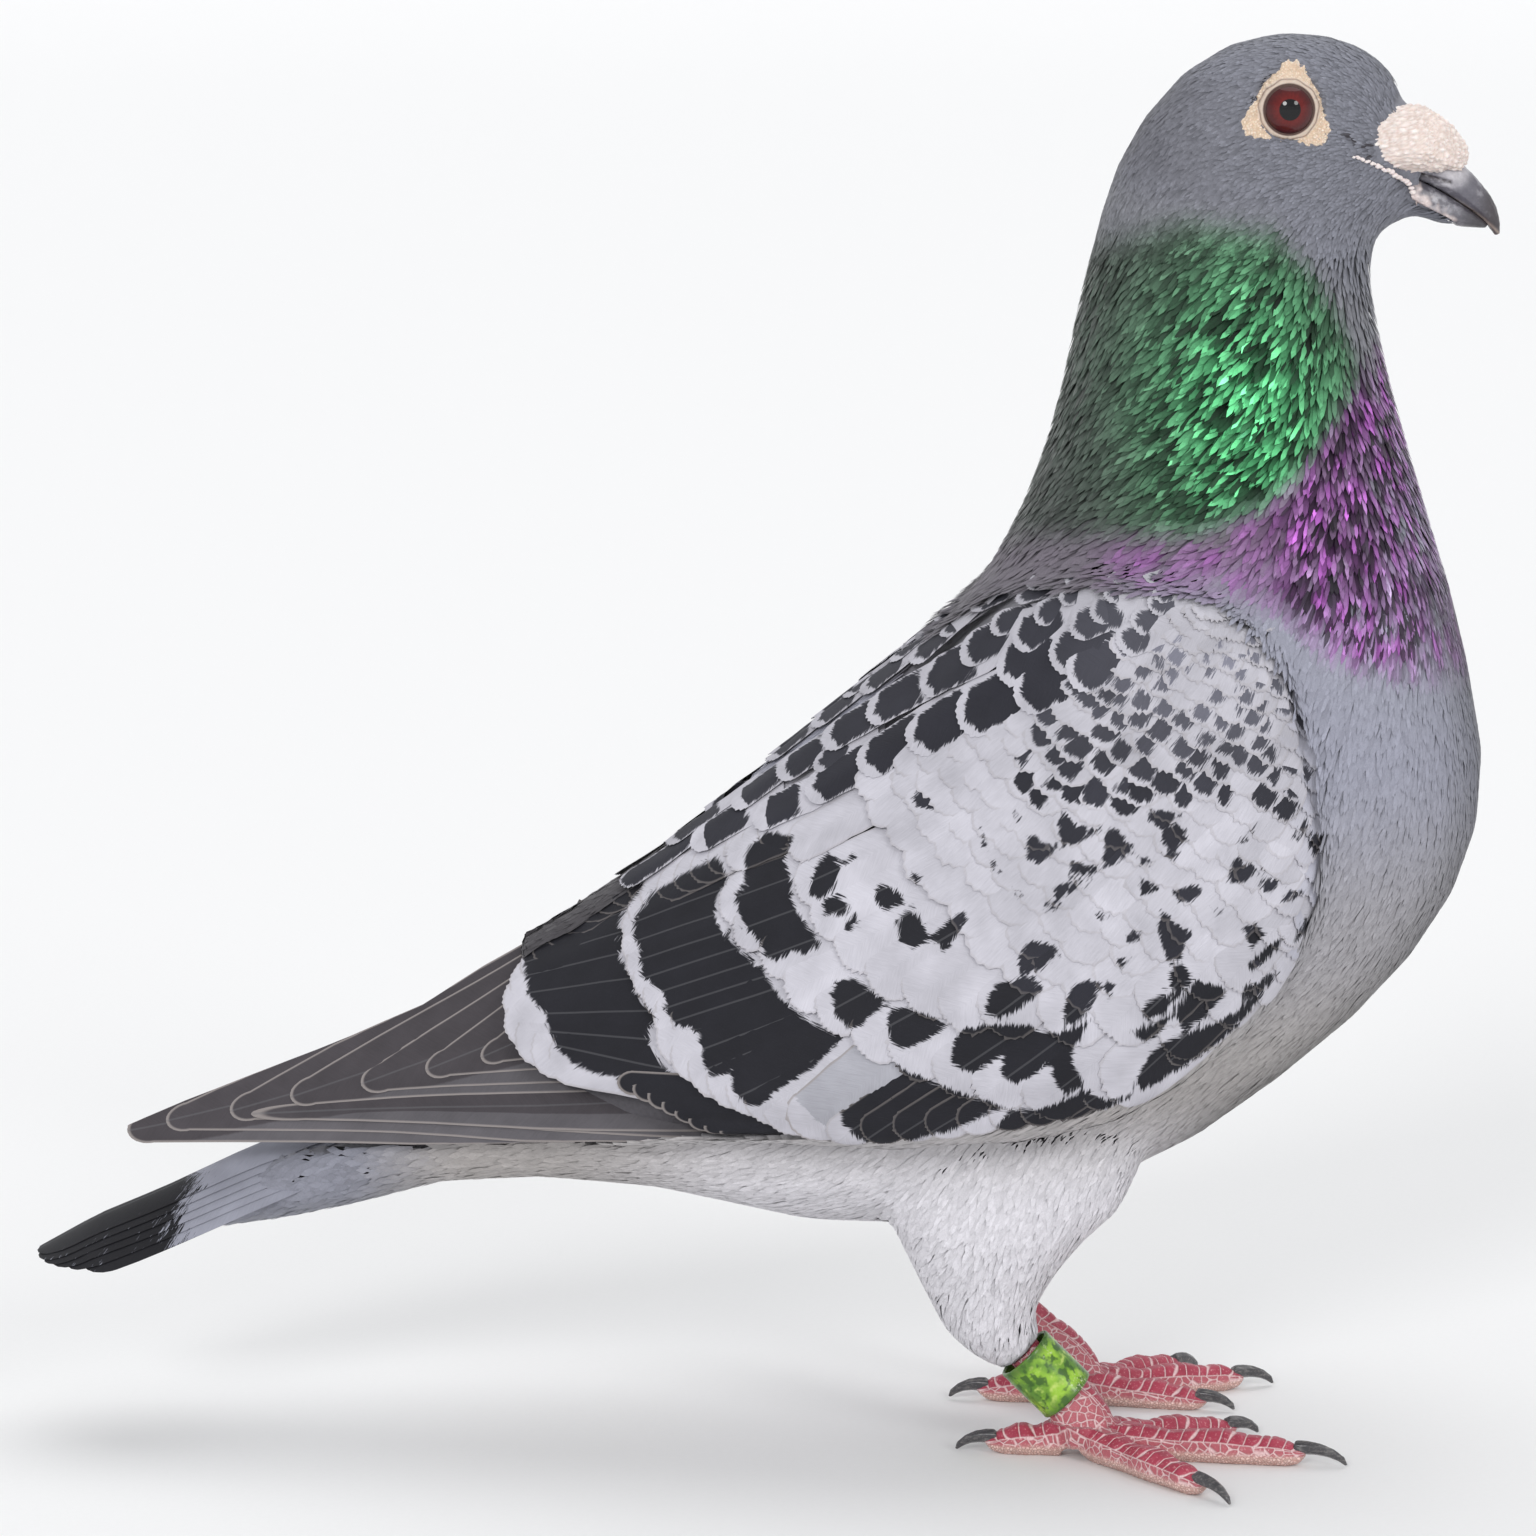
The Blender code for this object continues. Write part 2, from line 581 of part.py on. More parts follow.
def make_leg(name, side, bird, cutters, paints, grown_body):
    thigh = add_object(f"thigh_{name}", to_mesh(f"thigh_{name}", thigh_loft(side)), bird, paints["thigh"])
    cut_with(thigh, grown_body)
    shank = add_object(f"shank_{name}", to_mesh(f"shank_{name}", shank_loft(side)), bird, paints["leg"])
    shank_cutter = add_object(f"shank_{name}_cutter", to_mesh(f"shank_{name}_c", shank_loft(side, GAP)), cutters)
    thigh_cutter = add_object(f"thigh_{name}_cutter", to_mesh(f"thigh_{name}_c", thigh_loft(side, GAP)), cutters)
    cut_with(shank, thigh_cutter)
    for toe_name, toe in TOES[name].items():
        shape = toe_loft(side, toe)
        if toe_name != "1":
            part_toes(shape, side, TOES[name], toe_name)
        node = f"toe_{toe_name}_{name}"
        cut_with(add_object(node, to_mesh(node, shape), bird, paints["leg"]), shank_cutter)
        claw = f"claw_{toe_name}_{name}"
        add_object(claw, to_mesh(claw, claw_loft(side, toe)), bird, paints["claw"])


def make_band(bird, paints):
    """The ring round the right shank."""
    (near_x, near_z), (far_x, far_z) = SHANK[0].centre, SHANK[1].centre
    axis = Vector((far_x - near_x, 0, far_z - near_z)).normalized()
    across = Vector((-axis.z, 0, axis.x))
    centre = Vector((BAND_CENTRE[0], SIDES["right"] * LEG_SPREAD, BAND_CENTRE[1]))
    made = bmesh.new()
    rows = []
    corners = [(BAND_RADIUS, -1), (BAND_RADIUS, 1), (BAND_RADIUS - BAND_WALL, 1), (BAND_RADIUS - BAND_WALL, -1)]
    for k in range(BAND_SIDES):
        angle = 2 * math.pi * k / BAND_SIDES
        outwards = across * math.cos(angle) + Vector((0, 1, 0)) * math.sin(angle)
        places = [centre + outwards * radius + axis * (end * BAND_LENGTH / 2) for radius, end in corners]
        rows.append([made.verts.new(place * MM) for place in places])
    for near, far in zip(rows, rows[1:] + rows[:1]):
        for k in range(4):
            after = (k + 1) % 4
            made.faces.new((near[k], near[after], far[after], far[k]))
    bmesh.ops.recalc_face_normals(made, faces=made.faces)
    add_object("leg_band", to_mesh("leg_band", made), bird, paints["band"])


def make_paints():
    return {
        "head": paint("head_feathers", (0.15, 0.16, 0.19), 0.85),
        "neck": paint("neck_feathers", (0.05, 0.19, 0.10), 0.55),
        "trunk": paint("body_feathers", (0.42, 0.42, 0.43), 0.85),
        "thigh": paint("thigh_feathers", (0.66, 0.65, 0.66), 0.9),
        "wing_shield": paint("wing_coverts", (0.42, 0.42, 0.45), 0.8),
        "wing_primaries": paint("flight_feathers", (0.11, 0.10, 0.11), 0.7),
        "tail": paint("tail_feathers", (0.16, 0.16, 0.18), 0.75),
        "bill": paint("bill_horn", (0.045, 0.045, 0.055), 0.35),
        "wattle": paint("wattle_skin", (0.74, 0.66, 0.62), 0.8),
        "cere": paint("eye_skin", (0.76, 0.62, 0.45), 0.75),
        "eye": paint("eyeball", (0.13, 0.01, 0.01), 0.08),
        "leg": paint("leg_skin", (0.42, 0.10, 0.11), 0.6),
        "claw": paint("claw_horn", (0.07, 0.07, 0.07), 0.4),
        "band": paint("band_plastic", (0.16, 0.38, 0.04), 0.35),
    }


def main():
    bird, cutters = start_scene()
    paints = make_paints()
    body, grown_body = make_body(bird, cutters, paints)
    make_bill(bird, cutters, paints, body["head"], grown_body)
    make_eyes(bird, cutters, paints, body["head"], grown_body)
    make_tail(bird, paints, grown_body)
    for name, side in SIDES.items():
        make_wing(name, side, bird, paints, grown_body)
        make_leg(name, side, bird, cutters, paints, grown_body)
    make_band(bird, paints)


main()
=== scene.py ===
"""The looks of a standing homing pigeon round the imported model: a skin, a coat of vanes, and bare parts.

Lengths are in millimetres and are turned into metres as each mesh is made. The bird faces +X, its right side
is -Y, and the floor is z = 0. "Side view" places are (x, z) pairs.
"""

import math

import bmesh
import bpy
import numpy as np
from mathutils import Matrix, Vector, noise
from mathutils.bvhtree import BVHTree


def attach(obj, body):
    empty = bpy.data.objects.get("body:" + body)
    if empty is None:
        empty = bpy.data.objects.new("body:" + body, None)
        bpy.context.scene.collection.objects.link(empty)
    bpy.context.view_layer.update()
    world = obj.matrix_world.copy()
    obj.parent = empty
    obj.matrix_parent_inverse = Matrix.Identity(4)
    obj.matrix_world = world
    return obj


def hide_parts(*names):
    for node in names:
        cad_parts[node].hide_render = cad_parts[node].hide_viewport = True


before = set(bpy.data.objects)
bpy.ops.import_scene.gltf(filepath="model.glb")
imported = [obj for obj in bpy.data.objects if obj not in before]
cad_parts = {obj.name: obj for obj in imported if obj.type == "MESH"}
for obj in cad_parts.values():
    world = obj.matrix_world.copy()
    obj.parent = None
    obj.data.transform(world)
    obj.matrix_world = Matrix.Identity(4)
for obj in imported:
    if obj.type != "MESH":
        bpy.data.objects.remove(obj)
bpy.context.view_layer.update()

MM = 0.001
SIDES = {"right": -1.0, "left": 1.0}
UP = np.array([0.0, 0.0, 1.0])
# Side view places on a wing are where this viewer, on its side, sees them in the plane |y| = WING_PLANE.
VIEWER = np.array([1.7, 1000.0, 260.0])
WING_PLANE = 39.0

# Colours, linear.
HEAD_GREY = (0.195, 0.20, 0.235)
NAPE_GREY = (0.078, 0.082, 0.08)
NECK_GREEN = (0.13, 0.62, 0.25)
NECK_MAGENTA = (0.40, 0.115, 0.46)
THROAT_GREY = (0.185, 0.188, 0.21)
BREAST_GREY = (0.30, 0.305, 0.37)
BELLY_WHITE = (0.67, 0.655, 0.695)
VENT_GREY = (0.40, 0.375, 0.365)
TAIL_GREY = (0.235, 0.24, 0.285)
TAIL_BLACK = (0.008, 0.008, 0.011)
WING_PALE = (0.50, 0.49, 0.54)
WING_INK = (0.013, 0.013, 0.018)
WING_SMOKE = (0.055, 0.055, 0.068)
QUILL_BROWN = (0.045, 0.040, 0.045)
QUILL_GREY = (0.10, 0.094, 0.104)
# The edge line: pale on dark quills, and painted shade along the edges of pale feathers.
QUILL_EDGE_AND_SHADE = (0.30, 0.27, 0.26)
CORNER_GREY = (0.36, 0.36, 0.40)
SHAFT_GREY = (0.13, 0.13, 0.14)
SIDE_GREY = (0.33, 0.32, 0.34)
FLANK_GREY = (0.40, 0.38, 0.375)
RUMP_DARK = (0.05, 0.046, 0.052)
MANTLE_GREY = (0.15, 0.14, 0.16)
SHOULDER_GREY = (0.155, 0.135, 0.165)
# Painted shade for the lower back of the head.
REAR_HEAD_SHADE = (0.135, 0.135, 0.155)
LORE_BLACK = (0.035, 0.03, 0.035)
HIDDEN_GREY = (0.33, 0.325, 0.36)
HIDDEN_DARK = (0.07, 0.065, 0.075)


# ---------------------------------------------------------------- numbers


def smooth(low, high, value):
    """0 below low, 1 above high, with no corner between; high may be the lower one."""
    share = np.clip((value - low) / (high - low), 0.0, 1.0)
    return share * share * (3.0 - 2.0 * share)


def soft_step(low, high, value):
    """smooth for a single number."""
    return float(smooth(low, high, np.array(value)))


def unit(vectors):
    """The vectors brought to a length of 1."""
    return vectors / np.maximum(np.linalg.norm(vectors, axis=-1, keepdims=True), 1e-9)


def along(vectors, normals):
    """The vectors turned into the surface that these normals stand on."""
    return unit(vectors - normals * (vectors * normals).sum(axis=-1, keepdims=True))


def blended(x, z, anchors, power=3.0):
    """Values set at side view places, with the nearest place counting most."""
    anchors = np.array(anchors, float)
    gap = np.hypot(x[:, None] - anchors[None, :, 0], z[:, None] - anchors[None, :, 1])
    weight = 1.0 / (gap + 1.0) ** power
    return (weight @ anchors[:, 2:]) / weight.sum(axis=1, keepdims=True)


def side_view(points):
    """Where places appear to a viewer beside the bird, as (x, z) in the plane of its wings' outer faces."""
    x, y, z = points.T
    share = (VIEWER[1] - WING_PLANE) / (VIEWER[1] - np.abs(y))
    return VIEWER[0] + (x - VIEWER[0]) * share, VIEWER[2] + (z - VIEWER[2]) * share


def mixed(colours, other, share):
    """The colours, with this share of another in each."""
    share = np.asarray(share)[..., None]
    return colours * (1.0 - share) + np.array(other) * share


def line_at(x, line):
    """The height, at x, of a line of side view places."""
    return np.interp(x, *np.transpose(line))


def from_line(x, z, line):
    """Side view distances from a line of places, and the share of the line's length that is nearest."""
    best = np.full(len(x), np.inf)
    share = np.zeros(len(x))
    ends = np.array(line, float)
    for index, (start, end) in enumerate(zip(ends, ends[1:])):
        run = end - start
        part = np.clip(((x - start[0]) * run[0] + (z - start[1]) * run[1]) / (run @ run), 0, 1)
        gap = np.hypot(x - start[0] - part * run[0], z - start[1] - part * run[1])
        nearer = gap < best
        best = np.where(nearer, gap, best)
        share = np.where(nearer, (index + part) / (len(ends) - 1), share)
    return best, share


def runs_of(line):
    """How far along a line each of its places is."""
    return np.concatenate([[0], np.cumsum(np.linalg.norm(np.diff(line, axis=0), axis=1))])


def lumps(points, size, seed=0.0):
    """Smooth noise, from about -1 to 1, with lumps of about that size."""
    return np.array([noise.noise(place) for place in (points / size + seed).tolist()])


def cell_gap(points, size, seed):
    """How far places are from a border between cells of that size: 0 on it, about 0.5 in a cell's middle."""
    found = np.empty(len(points))
    for index, place in enumerate((points / size + seed).tolist()):
        near = noise.voronoi(place)[0]
        found[index] = near[1] - near[0]
    return found


# ---------------------------------------------------------------- Blender's data


def added(name, data):
    """A new object in the scene."""
    obj = bpy.data.objects.new(name, data)
    bpy.context.scene.collection.objects.link(obj)
    return obj


def read(items, field, width=1, kind=np.float32):
    """What each item holds in that field, in rows of that width."""
    values = np.empty(len(items) * width, kind)
    items.foreach_get(field, values)
    return values.reshape(-1, width)


def read_places(mesh):
    """The mesh's points in millimetres."""
    return read(mesh.vertices, "co", 3).astype(float) / MM


def mesh_from(made, name):
    """A mesh of what this bmesh holds; the bmesh is freed."""
    mesh = bpy.data.meshes.new(name)
    made.to_mesh(mesh)
    made.free()
    return mesh


def reshape(obj, points):
    """Moves the object's points to these places and shades it smooth."""
    obj.data.vertices.foreach_set("co", (points * MM).astype(np.float32).ravel())
    obj.data.polygons.foreach_set("use_smooth", np.ones(len(obj.data.polygons), bool))
    obj.data.update()


def painted(mesh, label, colours):
    """A named colour for each point."""
    rgba = np.ones((len(mesh.vertices), 4), np.float32)
    rgba[:, :3] = colours
    mesh.attributes.new(label, "FLOAT_COLOR", "POINT").data.foreach_set("color", rgba.ravel())


def measured(mesh, label, values):
    """A named number for each point."""
    mesh.attributes.new(label, "FLOAT", "POINT").data.foreach_set("value", np.asarray(values, np.float32))


def mapped(mesh, label, places):
    """A UV map with a place for each point."""
    corners = read(mesh.loops, "vertex_index", kind=np.int32)[:, 0]
    uv = np.asarray(places, np.float32)[corners]
    mesh.uv_layers.new(name=label).uv.foreach_set("vector", uv.ravel())


# ---------------------------------------------------------------- surfaces


class Surface:
    """A closed mesh in millimetres that feathers are laid on."""

    def __init__(self, obj):
        mesh = obj.data
        mesh.calc_loop_triangles()
        self.obj = obj
        self.points = read_places(mesh)
        self.normals = read(mesh.vertices, "normal", 3).astype(float)
        self.faces = read(mesh.loop_triangles, "vertices", 3, np.int32)
        self.tree = BVHTree.FromPolygons(self.points.tolist(), self.faces.tolist())

    def nearest(self, points):
        """The nearest places and their smooth normals."""
        places = np.empty((len(points), 3))
        faces = np.empty(len(points), int)
        find = self.tree.find_nearest
        for index, point in enumerate(points.tolist()):
            place, _, face, _ = find(point)
            places[index] = place
            faces[index] = face
        corners = self.faces[faces]
        weights = 1.0 / (np.linalg.norm(self.points[corners] - places[:, None], axis=2) + 0.05)
        normals = (self.normals[corners] * weights[..., None]).sum(axis=1)
        return places, unit(normals)

    def level_from(self, side, x, z):
        """The place that a level line from that side of the bird meets first, or the nearest one."""
        start = Vector((x, side * 120.0, z))
        place = self.tree.ray_cast(start, Vector((0.0, -side, 0.0)))[0]
        if place is None:
            place = self.tree.find_nearest(Vector((x, side * 10.0, z)))[0]
        return np.array(place)

    def trimmed(self, points):
        """Points of a feather, which this surface leaves as they are."""
        return points

    def seen_from(self, side, x, z):
        """The place that the viewer on that side sees at this side view place, or the nearest one to it."""
        start = Vector((VIEWER[0], side * VIEWER[1], VIEWER[2]))
        line = (Vector((x, side * WING_PLANE, z)) - start).normalized()
        place = self.tree.ray_cast(start, line)[0]
        if place is None:
            beside_spine = start + line * (VIEWER[1] - 12.0)
            place = self.tree.find_nearest(beside_spine)[0]
        return np.array(place)


def evaluated(obj):
    """The object with its modifiers applied; the old one is removed."""
    graph = bpy.context.evaluated_depsgraph_get()
    mesh = bpy.data.meshes.new_from_object(obj.evaluated_get(graph))
    name = obj.name
    bpy.data.objects.remove(obj)
    return added(name, mesh)


def round_nodes(name, nodes, grow, voxel, rounds):
    """A smooth closed mesh round these CAD nodes, grown by that much so that thin gaps close."""
    made = bmesh.new()
    for node in nodes:
        part = bmesh.new()
        part.from_mesh(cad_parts[node].data)
        bmesh.ops.remove_doubles(part, verts=part.verts, dist=1e-6)
        bmesh.ops.recalc_face_normals(part, faces=part.faces)
        for vert in part.verts:
            vert.co += vert.normal * grow * MM
        made.from_mesh(mesh_from(part, node))
    obj = added(name, mesh_from(made, name))
    remesh = obj.modifiers.new("remesh", "REMESH")
    remesh.mode = "VOXEL"
    remesh.voxel_size = voxel * MM
    relax = obj.modifiers.new("relax", "SMOOTH")
    relax.factor = 0.5
    relax.iterations = rounds
    return evaluated(obj)


def scattered(surface, mask, spacing, seed):
    """Roots at least spacing apart, where mask, a number for each point of the surface, is 1."""
    probe = added("probe", surface.obj.data.copy())
    measured(probe.data, "mask", mask)
    tree = bpy.data.node_groups.new("scatter", "GeometryNodeTree")
    for end in ("INPUT", "OUTPUT"):
        tree.interface.new_socket("Geometry", in_out=end, socket_type="NodeSocketGeometry")
    start = tree.nodes.new("NodeGroupInput")
    end = tree.nodes.new("NodeGroupOutput")
    field = tree.nodes.new("GeometryNodeInputNamedAttribute")
    field.inputs["Name"].default_value = "mask"
    spread = tree.nodes.new("GeometryNodeDistributePointsOnFaces")
    spread.distribute_method = "POISSON"
    spread.inputs["Distance Min"].default_value = spacing * MM
    spread.inputs["Density Max"].default_value = 3.0 / (spacing * MM) ** 2
    spread.inputs["Seed"].default_value = seed
    points = tree.nodes.new("GeometryNodePointsToVertices")
    tree.links.new(start.outputs[0], spread.inputs["Mesh"])
    tree.links.new(field.outputs[0], spread.inputs["Density Factor"])
    tree.links.new(spread.outputs["Points"], points.inputs["Points"])
    tree.links.new(points.outputs[0], end.inputs[0])
    probe.modifiers.new("scatter", "NODES").node_group = tree
    graph = bpy.context.evaluated_depsgraph_get()
    found = read_places(probe.evaluated_get(graph).to_mesh())
    bpy.data.objects.remove(probe)
    bpy.data.node_groups.remove(tree)
    return found


def kept_straight(headings, normals):
    """The headings turned into the surface, unchanged as seen from the side where it faces sideways."""
    facing = np.abs(normals[:, 1])
    lift = (headings * normals).sum(axis=1) / np.where(facing > 0.2, normals[:, 1], 1.0)
    turned = headings.copy()
    turned[:, 1] -= lift * smooth(0.3, 0.5, facing)
    return along(turned, normals)


def march(surface, roots, headings, lengths, shares, straight=False):
    """Places, normals and headings at these shares of each length, on a walk along the surface."""

    def step(moved, last):
        places, normals = surface.nearest(moved)
        turned = kept_straight(headings, normals) if straight else along(last, normals)
        return places, normals, turned

    steps = [step(roots, headings)]
    for last, share in zip(shares[:-1], shares[1:]):
        places, _, ahead = steps[-1]
        steps.append(step(places + ahead * (lengths * (share - last))[:, None], ahead))
    return [np.stack(kind, axis=1) for kind in zip(*steps)]


# ---------------------------------------------------------------- meshes


def make_piece(name, points, triangles, colours=(), floats=(), maps=(), normals=None):
    """A mesh object of these triangles, with named colours, numbers and map places for its points."""
    mesh = bpy.data.meshes.new(name)
    mesh.vertices.add(len(points))
    mesh.vertices.foreach_set("co", (points * MM).astype(np.float32).ravel())
    mesh.loops.add(len(triangles) * 3)
    mesh.loops.foreach_set("vertex_index", triangles.astype(np.int32).ravel())
    mesh.polygons.add(len(triangles))
    mesh.polygons.foreach_set("loop_start", np.arange(0, len(triangles) * 3, 3, dtype=np.int32))
    mesh.polygons.foreach_set("use_smooth", np.ones(len(triangles), bool))
    for store, named in ((painted, colours), (measured, floats), (mapped, maps)):
        for label, values in dict(named).items():
            store(mesh, label, values)
    mesh.update()
    if normals is not None:
        mesh.normals_split_custom_set_from_vertices(normals.tolist())
    return added(name, mesh)


def repeated(faces, count, size):
    """The triangles of count copies of a shape that has that many points."""
    return (faces[None] + (np.arange(count) * size)[:, None, None]).reshape(-1, 3)


def finish_piece(obj, material, replaced=()):
    """Gives a piece its material, hangs it under the root body, and hides the CAD nodes that it replaces."""
    obj.data.materials.clear()
    obj.data.materials.append(material)
    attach(obj, "root")
    if replaced:
        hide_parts(*replaced)


def unrolled(points, start, end):
    """Places from 0.03 to 0.97 on a cylinder round the line from start to end, rolled out flat."""
    axis = end - start
    length = np.linalg.norm(axis)
    axis = axis / length
    side = unit(np.cross(axis, [0.0, 1.0, 0.0]))
    other = np.cross(axis, side)
    reach = points - start
    turn = np.arctan2(reach @ other, reach @ side) / (2.0 * math.pi) + 0.5
    share = np.clip((reach @ axis) / length, 0.0, 1.0)
    return 0.03 + 0.94 * np.stack([turn, share], axis=1)


# ---------------------------------------------------------------- materials


class Graph:
    """A node material, with short calls for the nodes that it needs."""

    def __init__(self, name, **fixed):
        self.material = bpy.data.materials.new(name)
        self.material.use_nodes = True
        self.tree = self.material.node_tree
        self.shader = self.tree.nodes["Principled BSDF"]
        for label, value in fixed.items():
            self.shader.inputs[label.replace("_", " ")].default_value = value

    def feed(self, socket, value):
        if isinstance(value, bpy.types.NodeSocket):
            self.tree.links.new(value, socket)
        elif isinstance(value, tuple) and socket.type == "RGBA":
            socket.default_value = (*value[:3], 1.0)
        else:
            socket.default_value = value

    def node(self, kind, sockets=(), **settings):
        """A new node with these settings, and values for some of its sockets."""
        made = self.tree.nodes.new("ShaderNode" + kind)
        for label, value in settings.items():
            setattr(made, label, value)
        for socket, value in dict(sockets).items():
            self.feed(made.inputs[socket], value)
        return made

    def math(self, operation, *values):
        return self.node("Math", enumerate(values), operation=operation).outputs[0]

    def times(self, one, other):
        return self.math("MULTIPLY", one, other)

    def size(self, value):
        return self.math("ABSOLUTE", value)

    def sum(self, base, *parts):
        """The base plus each value times its weight."""
        for value, weight in parts:
            base = self.math("MULTIPLY_ADD", value, weight, base)
        return base

    def between(self, share, low, high):
        """The number low where the share is 0, and high where it is 1."""
        return self.sum(low, (self.math("SUBTRACT", high, low), share))

    def mix(self, share, low, high, blend="MIX"):
        made = self.node("Mix", data_type="RGBA", blend_type=blend)
        for index, value in zip((0, 6, 7), (share, low, high)):
            self.feed(made.inputs[index], value)
        return made.outputs[2]

    def toned(self, colour, tone):
        """The colour, darker or lighter by a factor."""
        return self.mix(1.0, colour, self.vector(tone, tone, tone), "MULTIPLY")

    def step(self, value, low, high):
        """0 below low and 1 above high, with a smooth slope between them."""
        sockets = {"Value": value, "From Min": low, "From Max": high}
        return self.node("MapRange", sockets, interpolation_type="SMOOTHSTEP").outputs["Result"]

    def attribute(self, name, output="Fac"):
        return self.node("Attribute", attribute_name=name).outputs[output]

    def marking(self):
        return self.attribute("Marking", "Color")

    def split(self, vector):
        return self.node("SeparateXYZ", {0: vector}).outputs

    def map(self, name):
        return self.split(self.node("UVMap", uv_map=name).outputs[0])[:2]

    def place(self):
        return self.node("TexCoord").outputs["Object"]

    def vector(self, *values):
        return self.node("CombineXYZ", enumerate(values)).outputs[0]

    def noise(self, vector, scale, detail=2.0, rough=0.5):
        sockets = {"Vector": vector, "Scale": scale, "Detail": detail, "Roughness": rough}
        return self.node("TexNoise", sockets).outputs["Fac"]

    def cells(self, vector, scale):
        """How far a place is from the nearest border between cells."""
        sockets = {"Vector": vector, "Scale": scale}
        return self.node("TexVoronoi", sockets, feature="DISTANCE_TO_EDGE").outputs["Distance"]

    def bump(self, height, strength, distance):
        sockets = {"Strength": strength, "Distance": distance * MM, "Height": height}
        self.feed(self.shader.inputs["Normal"], self.node("Bump", sockets).outputs[0])

    def colour(self, value):
        self.feed(self.shader.inputs["Base Color"], value)

    def rough(self, value):
        self.feed(self.shader.inputs["Roughness"], value)


def coat_material(name, gleaming=False):
    """Small feathers: the marking's colour, with barbs that slant out from the shaft."""
    graph = Graph(
        name, Roughness=0.62, Sheen_Weight=0.1, Sheen_Roughness=0.5, Specular_IOR_Level=0.35, IOR=1.4,
    )
    across, down = graph.map("Vane")
    barb = graph.sum(down, (graph.size(across), -1.1))
    line = graph.noise(graph.vector(graph.times(barb, 3.4), across, graph.attribute("Seed")), 1.0)
    swing = 0.56 if gleaming else 0.42
    graph.colour(graph.toned(graph.marking(), graph.sum(1.0 - swing / 2, (line, swing))))
    graph.bump(line, 0.2, 0.1)
    if gleaming:
        gleam = graph.attribute("Gleam")
        graph.feed(graph.shader.inputs["Metallic"], graph.times(gleam, 0.75))
        graph.rough(graph.sum(0.6, (gleam, -0.24)))
    return graph.material


def vane_material(name, streaked=False):
    """Patterned feathers: pale and dark webs with a ragged border between them, an edge line and a shaft; the
    edge line is a pale edge on dark feathers and painted shade along the edges of pale ones.

    The barbs slant out from the shaft, or run along the feather where it is streaked.
    """
    graph = Graph(
        name, Roughness=0.65, Sheen_Weight=0.03, Sheen_Roughness=0.5, Specular_IOR_Level=0.3, IOR=1.4,
    )
    across, down = graph.map("Vane")
    wide = graph.size(across)
    seed = graph.attribute("Seed")
    crosswise, lengthwise = (across, down) if streaked else (graph.sum(down, (wide, 0.9)), across)

    def strands(dense, long, *detail):
        place = graph.vector(graph.times(crosswise, dense), graph.times(lengthwise, long), seed)
        return graph.noise(place, 1.0, *detail)

    fine = strands(4.2, 0.4, 3.0, 0.6)
    coarse = strands(0.9, 0.3)
    swing = graph.sum(-0.8, (fine, 1.0), (coarse, 0.6))
    ink = graph.sum(graph.attribute("Ink"), (swing, graph.attribute("Ragged")))
    dark = graph.step(ink, -0.25, 0.25)
    body = graph.mix(dark, graph.attribute("Pale", "Color"), graph.attribute("Dark", "Color"))
    cloud = graph.noise(graph.place(), 150.0)
    body = graph.toned(body, graph.sum(0.59, (fine, 0.32), (cloud, 0.5)))
    # The edge line: pale on dark feathers, painted shade along the edges of pale ones.
    line = graph.times(graph.step(graph.attribute("Rim"), 0.55, 0.2), graph.attribute("Line"))
    body = graph.mix(line, body, QUILL_EDGE_AND_SHADE)
    shaft = graph.times(graph.step(wide, 0.26, 0.1), graph.attribute("Shaft"))
    graph.colour(graph.mix(graph.times(shaft, dark), body, SHAFT_GREY))
    graph.bump(graph.sum(fine, (shaft, 1.5)), 0.4, 0.15)
    return graph.material


def down_material():
    """The fuzzy skin that shows between the feathers."""
    graph = Graph("skin_down", Roughness=0.75, Sheen_Weight=0.2)
    fuzz = graph.noise(graph.place(), 1600.0, 3.0, 0.6)
    graph.colour(graph.toned(graph.marking(), graph.sum(0.7, (fuzz, 0.6))))
    graph.bump(fuzz, 0.5, 0.2)
    return graph.material


# ---------------------------------------------------------------- markings

EYE = np.array([92.8, 9.3, 239.9])
WING_OUTLINE = [
    (82, 156.5), (75, 157.8), (57, 159.6), (45, 160.0), (36, 154.5), (20, 140), (0, 122.5), (-30, 101),
    (-60, 84), (-100, 67), (-116, 58.5), (-60, 60), (-12, 61.6), (12, 61.4), (21, 61.6), (40, 63.2),
    (59, 66.4), (73, 74.4), (83, 81.5), (92, 91), (97.4, 104), (98.4, 117), (97, 134), (90, 147),
]
# The part of the wing's outline along the neck and the breast.
WING_FRONT = WING_OUTLINE[:5][::-1] + WING_OUTLINE[:-6:-1]
# The dark strokes between the eye and the corner of the mouth.
LORE = [
    (102.3, 235.8), (104.2, 234.7), (105.4, 233.1), (104.4, 233.4), (107.4, 233.6), (106.4, 232.0),
    (108.2, 230.9),
]
# For each x, how far from the midline the wing feathers begin on the back.
BACK_EDGE = [(18, 0), (34, 5), (45, 15), (60, 24), (79, 30)]
# The neck's green collar lies between two lines, and its magenta band between the lower one and a third.
COLLAR_TOP = [(50, 211), (60, 217), (75, 221), (90, 219), (97, 211), (103, 201), (108, 190), (112, 178)]
COLLAR_LOW = [
    (40, 160), (50, 163), (62, 164), (75, 165), (88, 170), (95, 176), (100, 183), (106, 190), (110, 196),
]
MAGENTA_LOW = [(55, 158), (65, 157), (80, 155.5), (90, 153), (97, 147), (105, 143), (115, 141), (125, 140)]


